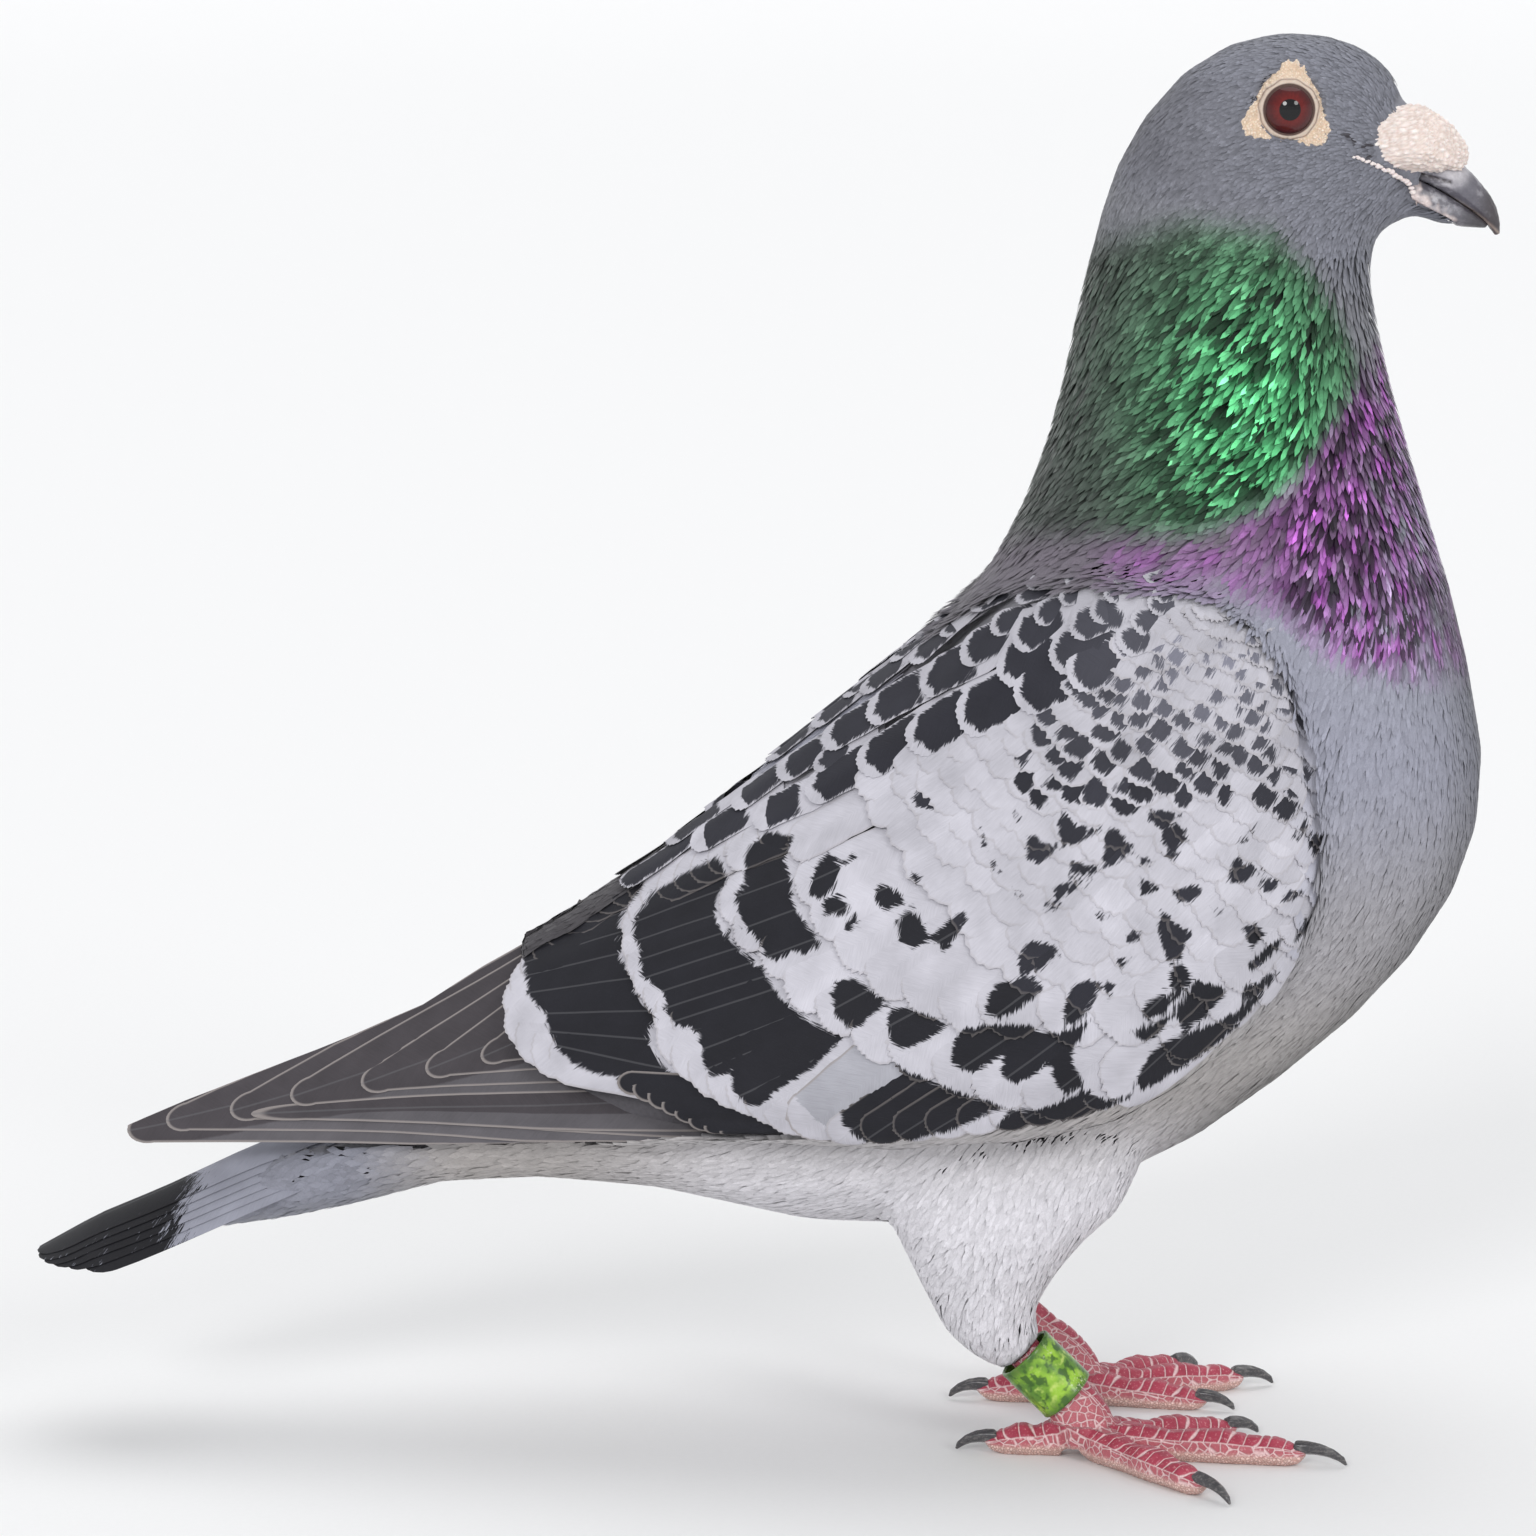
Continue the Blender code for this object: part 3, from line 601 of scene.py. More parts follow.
def inside(outline, x, z):
    """Whether side view places are inside an outline, by counting the edges to one side."""
    found = np.zeros(len(x), bool)
    for (x0, z0), (x1, z1) in zip(outline, outline[1:] + outline[:1]):
        crossed = (z0 > z) != (z1 > z)
        at = x0 + (z - z0) * (x1 - x0) / ((z1 - z0) or 1e-9)
        found ^= crossed & (x < at)
    return found


def under_wing(points):
    """Where wing feathers cover the body: inside the wing's outline, but not on the back."""
    x, z = side_view(points)
    return inside(WING_OUTLINE, x, z) & (np.abs(points[:, 1]) >= line_at(points[:, 0], BACK_EDGE))


def plumage(points):
    """The coat's colours and gleam at these places, on the skin and on the feathers alike."""
    x, y, z = points.T
    colours = np.tile(BREAST_GREY, (len(points), 1))
    colours = mixed(colours, SIDE_GREY, smooth(128, 92, z))
    colours = mixed(colours, FLANK_GREY, smooth(95, 72, z))
    colours = mixed(colours, BELLY_WHITE, smooth(70, 46, z) * smooth(95, 66, x) * smooth(-60, 10, x))
    colours = mixed(colours, VENT_GREY, smooth(-5, -45, x) * smooth(75, 60, z))
    colours = mixed(colours, TAIL_GREY, smooth(-52, -76, x))
    colours = mixed(colours, RUMP_DARK, smooth(-4, -18, x) * smooth(76, 82, z))
    colours = mixed(colours, MANTLE_GREY, smooth(72, 55, x) * smooth(132, 146, z))
    colours = mixed(colours, SHOULDER_GREY, smooth(150, 166, z) * smooth(118, 100, x))

    collar_top, collar_low, magenta_low = (line_at(x, line) for line in (COLLAR_TOP, COLLAR_LOW, MAGENTA_LOW))
    colours = mixed(colours, THROAT_GREY, smooth(182, 196, z))
    magenta = smooth(collar_low + 5, collar_low - 3, z) * smooth(magenta_low - 3, magenta_low + 5, z)
    magenta *= 0.6 + 0.4 * smooth(84, 98, x) * smooth(122, 110, x)
    magenta *= smooth(54, 66, x)
    patchy = lumps(points, (2.2, 3.0, 4.0))
    colours = mixed(colours, NECK_MAGENTA, np.clip(magenta * (0.62 + 0.9 * patchy), 0, 1))
    green = smooth(collar_low - 1, collar_low + 6, z) * smooth(collar_top + 4, collar_top - 5, z)
    green *= smooth(112, 102, x)
    # The collar's green is strongest in one spot on the side of the neck and fades to the nape's grey round
    # it: partly the feathers' own green, partly painted sheen where they catch the light.
    sheen_spot = np.exp(-(((x - 85) / 15.5) ** 2) - ((z - 186) / 25) ** 2)
    shine = mixed(np.tile(NAPE_GREY, (len(points), 1)), NECK_GREEN, 0.02 + 0.98 * sheen_spot)
    colours = colours * (1 - green[:, None]) + shine * green[:, None]
    gleam = np.clip(green * (0.35 + 0.65 * sheen_spot) + magenta * (0.3 + 0.4 * smooth(80, 96, x)), 0, 1)
    head = smooth(collar_top - 4, collar_top + 7, z) * smooth(205, 215, z + (x - 100) * 0.5)
    colours = mixed(colours, HEAD_GREY, head)
    # The lower back of the head is darker: painted shade.
    colours = mixed(colours, REAR_HEAD_SHADE, head * smooth(96, 68, x) * smooth(250, 242, z) * 0.75)
    lore, _ = from_line(x, z, LORE)
    strokes = lumps(points, 0.45) > -0.1
    colours = mixed(colours, LORE_BLACK, np.exp(-((lore / 0.42) ** 2)) * strokes * (z > 225))
    # The breast and belly are darker along the midline: painted shade down the front of the body.
    midline = 0.64 * smooth(33, 6, np.abs(y)) * smooth(166, 148, z) * smooth(62, 82, x)
    colours = colours * (1 - midline)[:, None]
    return colours, gleam


# The lie of the coat: a side view place, then the heading (x, z) of the feathers there.
LIE = [
    (112, 241, -0.5, 0.86), (104, 249, -0.95, 0.3), (92, 253, -1.0, 0.0), (78, 248, -0.9, -0.45),
    (68, 237, -0.6, -0.8), (62, 224, -0.35, -0.94), (104, 238, -0.99, 0.12), (96, 232, -0.98, -0.2),
    (85, 232, -0.9, -0.42), (104, 226, -0.93, -0.37), (112, 221, -0.75, -0.66), (84, 220, -0.75, -0.66),
    (119, 221, -0.93, -0.36), (114, 219, -0.8, -0.6), (108, 212, -0.25, -0.97), (98, 214, -0.5, -0.87),
    (58, 205, -0.35, -0.94), (72, 204, -0.66, -0.75), (88, 202, -0.66, -0.75), (100, 200, -0.35, -0.94),
    (108, 190, -0.1, -1.0), (55, 186, -0.5, -0.87), (70, 184, -0.75, -0.66), (88, 184, -0.7, -0.71),
    (100, 182, -0.35, -0.94), (112, 175, -0.1, -1.0), (45, 168, -0.7, -0.71), (60, 168, -0.87, -0.5),
    (78, 168, -0.85, -0.53), (92, 166, -0.45, -0.89), (104, 162, -0.25, -0.97), (118, 158, -0.12, -1.0),
    (96, 148, -0.45, -0.89), (112, 135, -0.3, -0.95), (125, 125, -0.2, -0.98), (108, 112, -0.5, -0.87),
    (118, 98, -0.55, -0.83), (100, 90, -0.75, -0.66), (88, 75, -0.8, -0.6), (70, 60, -0.82, -0.57),
    (60, 45, -0.35, -0.94), (45, 40, -0.25, -0.97), (44, 26, -0.05, -1.0), (30, 42, -0.6, -0.8),
    (20, 55, -0.85, -0.53), (0, 50, -0.94, -0.34), (-30, 50, -0.97, -0.25), (-60, 46, -0.98, -0.2),
    (-90, 45, -0.95, -0.3), (30, 145, -0.8, -0.6),
]


def lie_of_coat(points):
    """The headings of the feathers, from the nearest places of the lie."""
    found = blended(points[:, 0], points[:, 2], LIE)
    return unit(np.stack([found[:, 0], np.zeros(len(points)), found[:, 1]], axis=1))


def coat_sizes(points):
    """Length, half width, how deep the root sits and how proud the tip stands, at these places."""
    x, _, z = points.T
    sizes = np.tile([5.4, 0.44, 0.36, 0.0], (len(points), 1))
    sizes = mixed(sizes, (6.4, 0.72, 0.4, 0.0), smooth(-20, -55, x))
    sizes = mixed(sizes, (5.4, 0.5, 1.0, 0.2), smooth(150, 168, z))
    head = smooth(206, 222, z)
    sizes = mixed(sizes, (3.0, 0.31, 0.34, -0.05), head)
    face = smooth(22, 9, np.hypot(x - 102, z - 236)) * head
    sizes = mixed(sizes, (1.9, 0.24, 0.3, -0.1), face)
    leg = smooth(52, 38, z) * smooth(15, 25, x)
    sizes = mixed(sizes, (6.6, 0.40, 0.6, 0.05), leg)
    # Feathers beside the wing lie over its edge.
    edge, _ = from_line(*side_view(points), WING_FRONT)
    sizes[:, 3] += 1.3 * smooth(7, 1, edge) * smooth(96, 110, z)
    return sizes


# ---------------------------------------------------------------- skin and contour feathers

FLESH = ["head", "neck", "trunk", "wing_shield_right", "wing_shield_left", "thigh_right", "thigh_left"]
# Where each small vane's rings and its tip are along it, and how wide the rings are.
COAT_SHARES = (0.0, 0.42, 0.8, 1.0)
COAT_WIDTHS = (0.6, 1.0, 0.85)
# How far each thigh's axis is from the midline.
THIGH_SPREAD = 18.5


def coat_faces(rings):
    """Triangles of one closed vane: rings of left, right and ridge points, and one tip."""
    found = [(0, 1, 2)]
    for ring in range(rings - 1):
        a, b = 3 * ring, 3 * ring + 3
        for left, right in ((1, 0), (0, 2), (2, 1)):
            found += [(a + left, a + right, b + right), (a + left, b + right, b + left)]
    a = 3 * (rings - 1)
    tip = 3 * rings
    found += [(a + 1, a, tip), (a, a + 2, tip), (a + 2, a + 1, tip)]
    return np.array(found)


def clumps(points):
    """From 0 in the clefts between the neck's locks, which get painted shade, to 1 on their crowns."""
    x, y, z = points.T
    down, across = -0.75 * x - 0.66 * z, 0.66 * x - 0.75 * z
    return smooth(-0.20, 0.04, lumps(np.stack([down, across, y], axis=1), (5.0, 1.35, 4.0)))


def make_coat(name, surface, roots, material, axis, seed):
    """One piece of small closed vanes that grow from these roots and lie along the surface."""
    draw = np.random.default_rng(seed)
    count = len(roots)
    lengths, half, sink, rise = (coat_sizes(roots) * draw.normal(1.0, 0.12, (count, 4))).T
    rise = rise + draw.normal(0.0, 0.12, count) * smooth(0.3, 1.0, half)
    crowns = clumps(roots)
    rise = rise - 0.45 * (1 - crowns) * smooth(0.5, 0.75, half) * (roots[:, 2] > 150)
    _, normals = surface.nearest(roots)
    headings = along(lie_of_coat(roots), normals)
    turn = draw.normal(0.0, 0.13, count)[:, None]
    headings = unit(headings + np.cross(normals, headings) * turn)
    places, normals, headings = march(surface, roots, headings, lengths, COAT_SHARES)
    aside = np.cross(normals, headings)
    share = np.array(COAT_SHARES)
    lift = -sink[:, None] + (sink + rise)[:, None] * share[None, :] ** 0.8
    centre = places + normals * lift[..., None]

    # Each ring of a vane has a left, a right and a ridge point, and the tip is one point.
    rings = len(COAT_WIDTHS)
    shown = 3 * rings + 1
    points = np.empty((count, shown, 3))
    vane = np.empty((count, shown, 2))
    width = half[:, None] * np.array(COAT_WIDTHS)[None, :]
    for corner, (sideways, proud) in enumerate(((1.0, 0.0), (-1.0, 0.0), (0.0, 1.0))):
        own = slice(corner, shown - 1, 3)
        out = aside[:, :rings] * (width * sideways)[..., None]
        up = normals[:, :rings] * (proud * (0.03 + 0.09 * width))[..., None]
        points[:, own] = centre[:, :rings] + out + up
        vane[:, own, 0] = width * sideways
        vane[:, own, 1] = lengths[:, None] * share[None, :rings]
    points[:, -1] = centre[:, -1]
    vane[:, -1] = np.stack([np.zeros(count), lengths], axis=1)
    down = np.clip(vane[..., 1] / lengths[:, None], 0, 1)

    # Vanes differ in tone at random, most on the head. Painted shade darkens them towards their roots and in
    # the neck's clefts.
    colours, gleam = plumage(places[:, -2])
    tone = 1 + draw.normal(0.0, 1.0, count) * (0.065 + 0.045 * smooth(202, 212, roots[:, 2]))
    spread = np.clip(1.0 + draw.normal(0.0, 0.42, count) * gleam, 0.35, 2.0)
    dull_head = smooth(202, 212, roots[:, 2]) * (1 - gleam)
    shade = 1.0 - (0.08 + 0.16 * dull_head + 0.72 * gleam)[:, None] * smooth(0.75, 0.25, down)
    cleft_shade = 1 - 0.88 * (1 - crowns) * np.clip(gleam * 1.8 - 0.15, 0, 1)
    tinted = (colours * tone[:, None])[:, None, :] * (shade * (spread * cleft_shade)[:, None])[..., None]
    glossy = (gleam * (0.4 + 0.6 * crowns))[:, None] * np.ones(shown)

    # Each vane is shaded as a part of the coat's smooth surface, and the gleaming ones lean their own way.
    leaning = 0.10 + 0.40 * gleam
    lean = draw.normal(0, 1, count) * leaning
    pitch = draw.normal(0, 0.6, count) * leaning
    shading = np.concatenate([np.repeat(normals[:, :rings], 3, axis=1), normals[:, -1:]], axis=1)
    shading = shading + aside[:, :1] * lean[:, None, None] + headings[:, :1] * pitch[:, None, None]

    # On the map each vane is a small patch where its root is.
    patch = np.stack([vane[..., 0] / (2 * half[:, None]), down - 0.5], axis=-1) * 0.003
    spread_out = unrolled(roots, *axis)[:, None] + patch
    obj = make_piece(
        name,
        points.reshape(-1, 3),
        repeated(coat_faces(rings), count, shown),
        colours={"Marking": np.clip(tinted, 0, 1).reshape(-1, 3)},
        floats={"Gleam": glossy.ravel(), "Seed": np.repeat(draw.uniform(0, 90, count), shown)},
        maps={"Vane": vane.reshape(-1, 2), "OFBake": spread_out.reshape(-1, 2)},
        normals=unit(shading.reshape(-1, 3)),
    )
    finish_piece(obj, material)


WATTLE_OUTLINE = [
    (108.6, 232.8), (109.4, 236.0), (111.2, 238.0), (115.2, 239.0), (119, 238.2), (124, 231), (124, 228.5),
    (110.2, 230.0),
]
# The lower edge of the bare lower bill.
CHIN_LINE = [(113, 228), (114.5, 226.5), (115.5, 223.8), (121, 220.9), (124, 219.2)]


def bare_face(points):
    """Where no feathers grow: round the eyes, on the wattles and the bill."""
    x, _, z = points.T
    away = np.hypot(x - EYE[0], z - EYE[2])
    eye = away < cere_outline(np.arctan2(z - EYE[2], x - EYE[0])) - 0.75 + 0.7 * lumps(points, 0.7)
    wattle = inside(WATTLE_OUTLINE, x, z)
    bill = (x > 113) & (z > line_at(x, CHIN_LINE))
    return (eye & (z > 225)) | wattle | bill | (x > 123.5) & (z > 205)


def make_skin(guide):
    """The one skin under the coat, inside the flesh nodes by the coat's depth."""
    obj = added("skin", guide.obj.data.copy())
    points = guide.points
    x, y, z = points.T
    winged = under_wing(points)
    depth = coat_sizes(points)[:, 2] * 0.95
    depth = np.where(winged, 2.2, depth)
    depth = np.where((x > 112.5) & (z > 205), 0.75, depth)
    # Behind the shoulders the wings are thin, so the skin is drawn in towards the middle there.
    behind = smooth(8, -6, x) * np.maximum(winged, smooth(76, 80, z))
    behind = np.maximum(behind, smooth(-6, -16, x) * smooth(13, 18, np.abs(y)) * smooth(59.5, 62.0, z))
    depth = depth * (1 - behind) + 0.3 * behind
    moved = points - guide.normals * depth[:, None]
    moved[:, 1] -= np.sign(y) * np.minimum(5.0, 0.75 * np.abs(y)) * behind
    moved[:, 2] -= 2.5 * behind * smooth(76, 80, z)
    reshape(obj, moved)
    colours, _ = plumage(points)
    colours = mixed(colours, HIDDEN_GREY, winged) * 0.9
    painted(obj.data, "Marking", mixed(colours, HIDDEN_DARK, behind * smooth(60, 63, z)))
    finish_piece(obj, down_material(), FLESH)


def make_coats(guide, bare_pieces):
    """All the contour feathers, in pieces that stay under the count of triangles."""
    plain = coat_material("coat_plain")
    gleaming = coat_material("coat_gleaming", gleaming=True)
    points = guide.points
    x, y, z = points.T
    open_skin = ~under_wing(points) & ~bare_face(points) & (z > 19.2) & (x > -93)
    open_skin &= ~((x < -16) & (np.abs(y) > 15) & (z > 57.5))
    for piece in bare_pieces:
        box = piece.points.min(axis=0) - 3, piece.points.max(axis=0) + 3
        near = ((points > box[0]) & (points < box[1])).all(axis=1)
        places, _ = piece.nearest(points[near])
        gap = np.linalg.norm(places - points[near], axis=1)
        open_skin[np.flatnonzero(near)[gap < 0.9]] = False
    head = open_skin & (z > 216)
    neck = open_skin & (z > 154) & (z <= 218)
    leg = open_skin & (z < 47) & (x > 18)
    body = open_skin & ~(z > 156) & ~(leg & (z < 45))
    # Each tract's points, spacing, material, slot, and the line round which its map is unrolled.
    tracts = {
        "head": (head, 0.44, gleaming, "head_feathers", ((90, 0, 258), (84, 0, 212))),
        "neck": (neck, 0.86, gleaming, "neck_feathers", ((84, 0, 222), (86, 0, 150))),
        "breast": (body & (x > 62), 0.66, plain, "body_feathers", ((100, 0, 160), (70, 0, 60))),
        "rear": (body & (x <= 64), 0.66, plain, "body_feathers", ((66, 0, 62), (-106, 0, 44))),
        "thigh": (leg, 0.64, plain, "body_feathers", ((45, 0, 55), (45, 0, 18))),
    }
    for seed, (label, (mask, spacing, material, slot, axis)) in enumerate(tracts.items()):
        roots = scattered(guide, mask, spacing, 11 + seed)
        for side, sign in SIDES.items():
            chosen = roots[roots[:, 1] * sign > 0]
            aside = THIGH_SPREAD * sign if label == "thigh" else 0.0
            ends = [np.array(end, float) + (0, aside, 0) for end in axis]
            make_coat(f"coat_{label}_{side}", guide, chosen, material, ends, 31 + seed)


# ---------------------------------------------------------------- the stage

CAMERA_PITCH = math.radians(7.862)
# How wide the picture is in the plane y = 0.
FRAME_WIDTH = 276.48
# The floor's radius and height, ring by ring, in metres.
FLOOR_RINGS = [(0.5, 0), (5.0, 0), (25.0, 0), (32.0, 0.4), (40.0, 2.0), (48.0, 5.0), (55.0, 9.5), (60.0, 15.0)]


def sun(name, towards, strength, angle):
    """A soft distant light that shines from the direction towards it."""
    data = bpy.data.lights.new(name, "SUN")
    data.energy = strength
    data.angle = math.radians(angle)
    added(name, data).rotation_euler = (-Vector(towards)).to_track_quat("-Z", "Y").to_euler()


def make_camera():
    """The camera, where the viewer of the bird's right side is, with the photograph's angle and width."""
    data = bpy.data.cameras.new("camera")
    camera = added("camera", data)
    bpy.context.scene.camera = camera
    bpy.context.scene.view_settings.view_transform = "Standard"
    camera.location = VIEWER * (1, -1, 1) * MM
    camera.rotation_euler = (math.pi / 2 - CAMERA_PITCH, 0, 0)
    data.sensor_width = 36.0
    data.lens = data.sensor_width * VIEWER[1] / math.cos(CAMERA_PITCH) / FRAME_WIDTH
    data.clip_start = 0.01
    data.clip_end = 500.0


def make_light():
    """Soft studio light from all round."""
    sun("key", (-0.29, -0.86, 0.43), 1.0, 16)
    sun("fill", (0.49, -0.75, 0.44), 0.55, 16)
    sun("top", (0.1, 0.3, 1.0), 0.9, 60)
    world = bpy.data.worlds.new("studio")
    bpy.context.scene.world = world
    world.use_nodes = True
    colour, strength = world.node_tree.nodes["Background"].inputs[:2]
    colour.default_value = (0.97, 0.98, 1.0, 1)
    strength.default_value = 0.62


def make_floor():
    """A wide pale floor that rises far away on all sides, as a studio sweep does."""
    turns = 96
    points = [(0.0, 0.0, 0.0)]
    faces = []
    for index, (radius, height) in enumerate(FLOOR_RINGS):
        for turn in range(turns):
            angle = 2 * math.pi * turn / turns
            points.append((radius * math.cos(angle), radius * math.sin(angle), height))
            a = 1 + index * turns + turn
            b = 1 + index * turns + (turn + 1) % turns
            faces.append((0, a, b) if index == 0 else (a - turns, a, b))
            if index:
                faces.append((a - turns, b, b - turns))
    floor = make_piece("floor", np.array(points) / MM, np.array(faces))
    graph = Graph("floor_paper", Roughness=0.9, Specular_IOR_Level=0.2)
    tone = graph.sum(0.84, (graph.noise(graph.place(), 900.0, 3.0), 0.03))
    graph.colour(graph.vector(tone, tone, tone))
    floor.data.materials.append(graph.material)


# ---------------------------------------------------------------- patterned feathers

# The lie of the wing: a side view place, then the compass angle of the feathers there, in degrees from +x.
WING_LIE = [
    (80, 153, 262), (90, 142, 248), (96, 126, 240), (97, 106, 233), (89, 88, 227), (66, 143, 242),
    (62, 122, 236), (60, 102, 229), (60, 80, 222), (42, 120, 227), (40, 97, 223), (40, 75, 216),
    (20, 112, 217), (20, 92, 213), (20, 68, 208), (0, 100, 204), (0, 75, 208), (-15, 95, 200), (-35, 85, 195),
    (62, 153, 203), (48, 147, 211), (32, 141, 216), (15, 130, 216), (0, 120, 213), (-12, 114, 207),
    (-60, 80, 197), (75, 157, 200),
]

# How many rows of points a patterned vane has round its tip, and how thick it is.
TIP_ROWS = 5
VANE_THICK = 0.06
# No row of feathers has more than this many on either side of its start.
LONGEST_ROW = 60


def compass_heading(points, lie, power):
    """Headings that look, from the side, like the compass angles of the nearest places of that lie."""
    angles = np.radians(blended(*side_view(points), lie, power)[:, 0])
    return np.stack([np.cos(angles), np.zeros(len(points)), np.sin(angles)], axis=1)


def wing_heading(points):
    """Headings of the shield's feathers at these places."""
    return compass_heading(points, WING_LIE, 3.5)


def vane_grid(straight, columns):
    """For each point of a vane's face: its share of the straight part, of the round tip, and across.

    straight is how many rows of points the straight part has, and columns how many strips lie across the vane.
    """
    down = np.concatenate([np.linspace(0, 1, straight, endpoint=False), np.ones(TIP_ROWS + 1)])
    end = np.concatenate([np.zeros(straight), np.linspace(0, 1, TIP_ROWS + 1)])
    across = np.linspace(-1, 1, columns + 1)
    rows = len(down)
    return np.repeat(down, columns + 1), np.repeat(end, columns + 1), np.tile(across, rows), rows


def sheet_faces(rows, columns, count):
    """Triangles of a closed thin sheet: a top grid, the same grid below, and a rim between them."""
    top = []
    for row in range(rows - 1):
        for column in range(columns):
            a = row * (columns + 1) + column
            b = a + columns + 1
            top += [(a, a + 1, b + 1), (a, b + 1, b)]
    top = np.array(top)
    below = top[:, ::-1] + count
    loop = [*range(columns + 1)]
    loop += [row * (columns + 1) + columns for row in range(1, rows)]
    loop += [(rows - 1) * (columns + 1) + column for column in range(columns - 1, -1, -1)]
    loop += [row * (columns + 1) for row in range(rows - 2, 0, -1)]
    rim = []
    for a, b in zip(loop, loop[1:] + loop[:1]):
        rim += [(b, a, a + count), (b, a + count, b + count)]
    return np.concatenate([top, below, np.array(rim)])


class Plumes:
    """A growing list of patterned feathers, made into one piece at the end.

    lean makes the tip longer, sink and rise set how deep the root sits and how proud the tip stands, layer
    lifts the whole feather, and tilt lifts its lower edge. The dark part stops fringe before the tip and
    side_fringe before the edges, is depth long and twice blot wide, and has its middle at blot_at. web is the
    width of a pale lower edge, and mapped is 1 where the dark part is read from the patches. ragged is how
    ragged its border is, jag how saw-toothed the feather's edge is, and line and shaft how strongly those
    show. The root is taper times as wide as the vane, and spread widens a long feather towards it.
    """

    DEFAULTS = dict(
        lean=0.0, sink=1.6, rise=0.0, tilt=0.0, fringe=2.0, side_fringe=0.3, depth=90.0, blot=90.0,
        blot_at=0.0, ragged=1.6, line=0.0, shaft=0.0, layer=0.0, jag=0.18, taper=0.55, spread=0.0,
        web=0.0, mapped=0.0,
    )
    FIELDS = ("length", "half", *DEFAULTS)

    def __init__(self):
        self.tips, self.headings, self.pale, self.dark, self.numbers = [], [], [], [], []

    def add(self, tip, heading, pale=WING_PALE, dark=WING_INK, **numbers):
        self.tips.append(tip)
        self.headings.append(heading)
        self.pale.append(pale)
        self.dark.append(dark)
        self.numbers.append({**self.DEFAULTS, **numbers})

    def make(self, name, surface, side, material, slot, seed, straight, columns, replaced=(), level=True):
        """The piece: each shaft is walked back from its tip along the surface, and its web laid beside it."""
        draw = np.random.default_rng(seed)
        count = len(self.tips)
        # A number for each feather, as a column beside the points of its face.
        number = {field: np.array([[own[field]] for own in self.numbers], float) for field in self.FIELDS}
        length, half, taper = number["length"], number["half"], number["taper"]
        fringe, side_fringe = number["fringe"], number["side_fringe"]
        tips, backwards = np.array(self.tips), -np.array(self.headings)
        steps = np.linspace(0, 1, 9)
        places, normals, back = march(surface, tips, backwards, length[:, 0], steps, straight=level)

        down, end, across, rows = vane_grid(straight, columns)
        shown = len(down)
        ahead, aside = end * np.sqrt(1 - across**2 / 2), across * np.sqrt(1 - end**2 / 2)
        flat = np.minimum(length, half * (1 + number["lean"]))
        base = (taper + (1 - taper) * smooth(0.0, 0.45, down)) * (1 + number["spread"] * (1 - down))
        hem = (np.abs(across) > 0.99) | (end > 0.99)
        saw = np.where(np.arange(shown) % 2, 1.0, -1.0)
        jag = (saw + draw.normal(0, 0.7, (count, shown))) * number["jag"] * hem
        reach = (length - flat) * down + flat * ahead + jag * (end > 0.3)
        sideways = half * np.where(end > 0, aside, across * base) + jag * 0.4 * np.sign(across)

        share = np.clip((length - reach) / length, 0, 1) * (len(steps) - 1)
        low = np.minimum(share.astype(int), len(steps) - 2)
        part = (share - low)[..., None]
        pick = np.arange(count)[:, None]
        kinds = (places, normals, back)
        shaft, normal, behind = (kind[pick, low] * (1 - part) + kind[pick, low + 1] * part for kind in kinds)
        heading = -unit(behind)
        lower = np.cross(unit(normal), heading) * -side
        points = shaft + lower * sideways[..., None] + heading * np.maximum(reach - length, 0)[..., None]
        found, lifted = (kind.reshape(points.shape) for kind in surface.nearest(points.reshape(-1, 3)))
        points = points - lifted * ((points - found) * lifted).sum(axis=2, keepdims=True)
        along_share = np.clip(reach / length, 0, 1)
        rise = (number["sink"] + number["rise"]) * along_share**0.9 - number["sink"]
        rise = rise + number["layer"] + number["tilt"] * sideways - 0.035 * half * across**2
        top = surface.trimmed(points) + lifted * rise[..., None]

        # Ink is how far inside the dark part a point is, and rim how far from the feather's edge.
        ratio = np.hypot(ahead, aside)
        rim = half * np.where(end > 0, 1 - ratio, base * (1 - np.abs(across)))
        to_tip = length - reach
        tipward = np.where(end > 0, smooth(0.0, 0.5, ahead / np.maximum(ratio, 1e-6)), 0)
        ink = rim - side_fringe - (fringe - side_fringe) * tipward
        ink = np.minimum(ink, fringe + number["depth"] - to_tip)
        ink = np.minimum(ink, number["blot"] - np.abs(sideways - number["blot_at"]))
        web = number["web"]
        edge = rim - web * smooth(-0.2, 0.5, across) * smooth(8, 30, to_tip)
        ink = np.where(web > 0, np.minimum(ink, edge), ink)
        listed = number["mapped"][:, 0] > 0
        if listed.any():
            ink[listed] = patch_depth(*side_view(top[listed].reshape(-1, 3))).reshape(-1, shown)

        seeds = draw.uniform(0, 90, count)
        tone = draw.normal(1.0, 0.035, count)[:, None]

        def both(upper, under=None):
            """Values for the upper face's points and then the lower one's, the same unless given."""
            values = np.concatenate([upper, upper if under is None else under], axis=1)
            return values.reshape(-1, *values.shape[2:])

        def each(values):
            """The feather's own value for all its points."""
            return np.repeat(values, 2 * shown, axis=0)

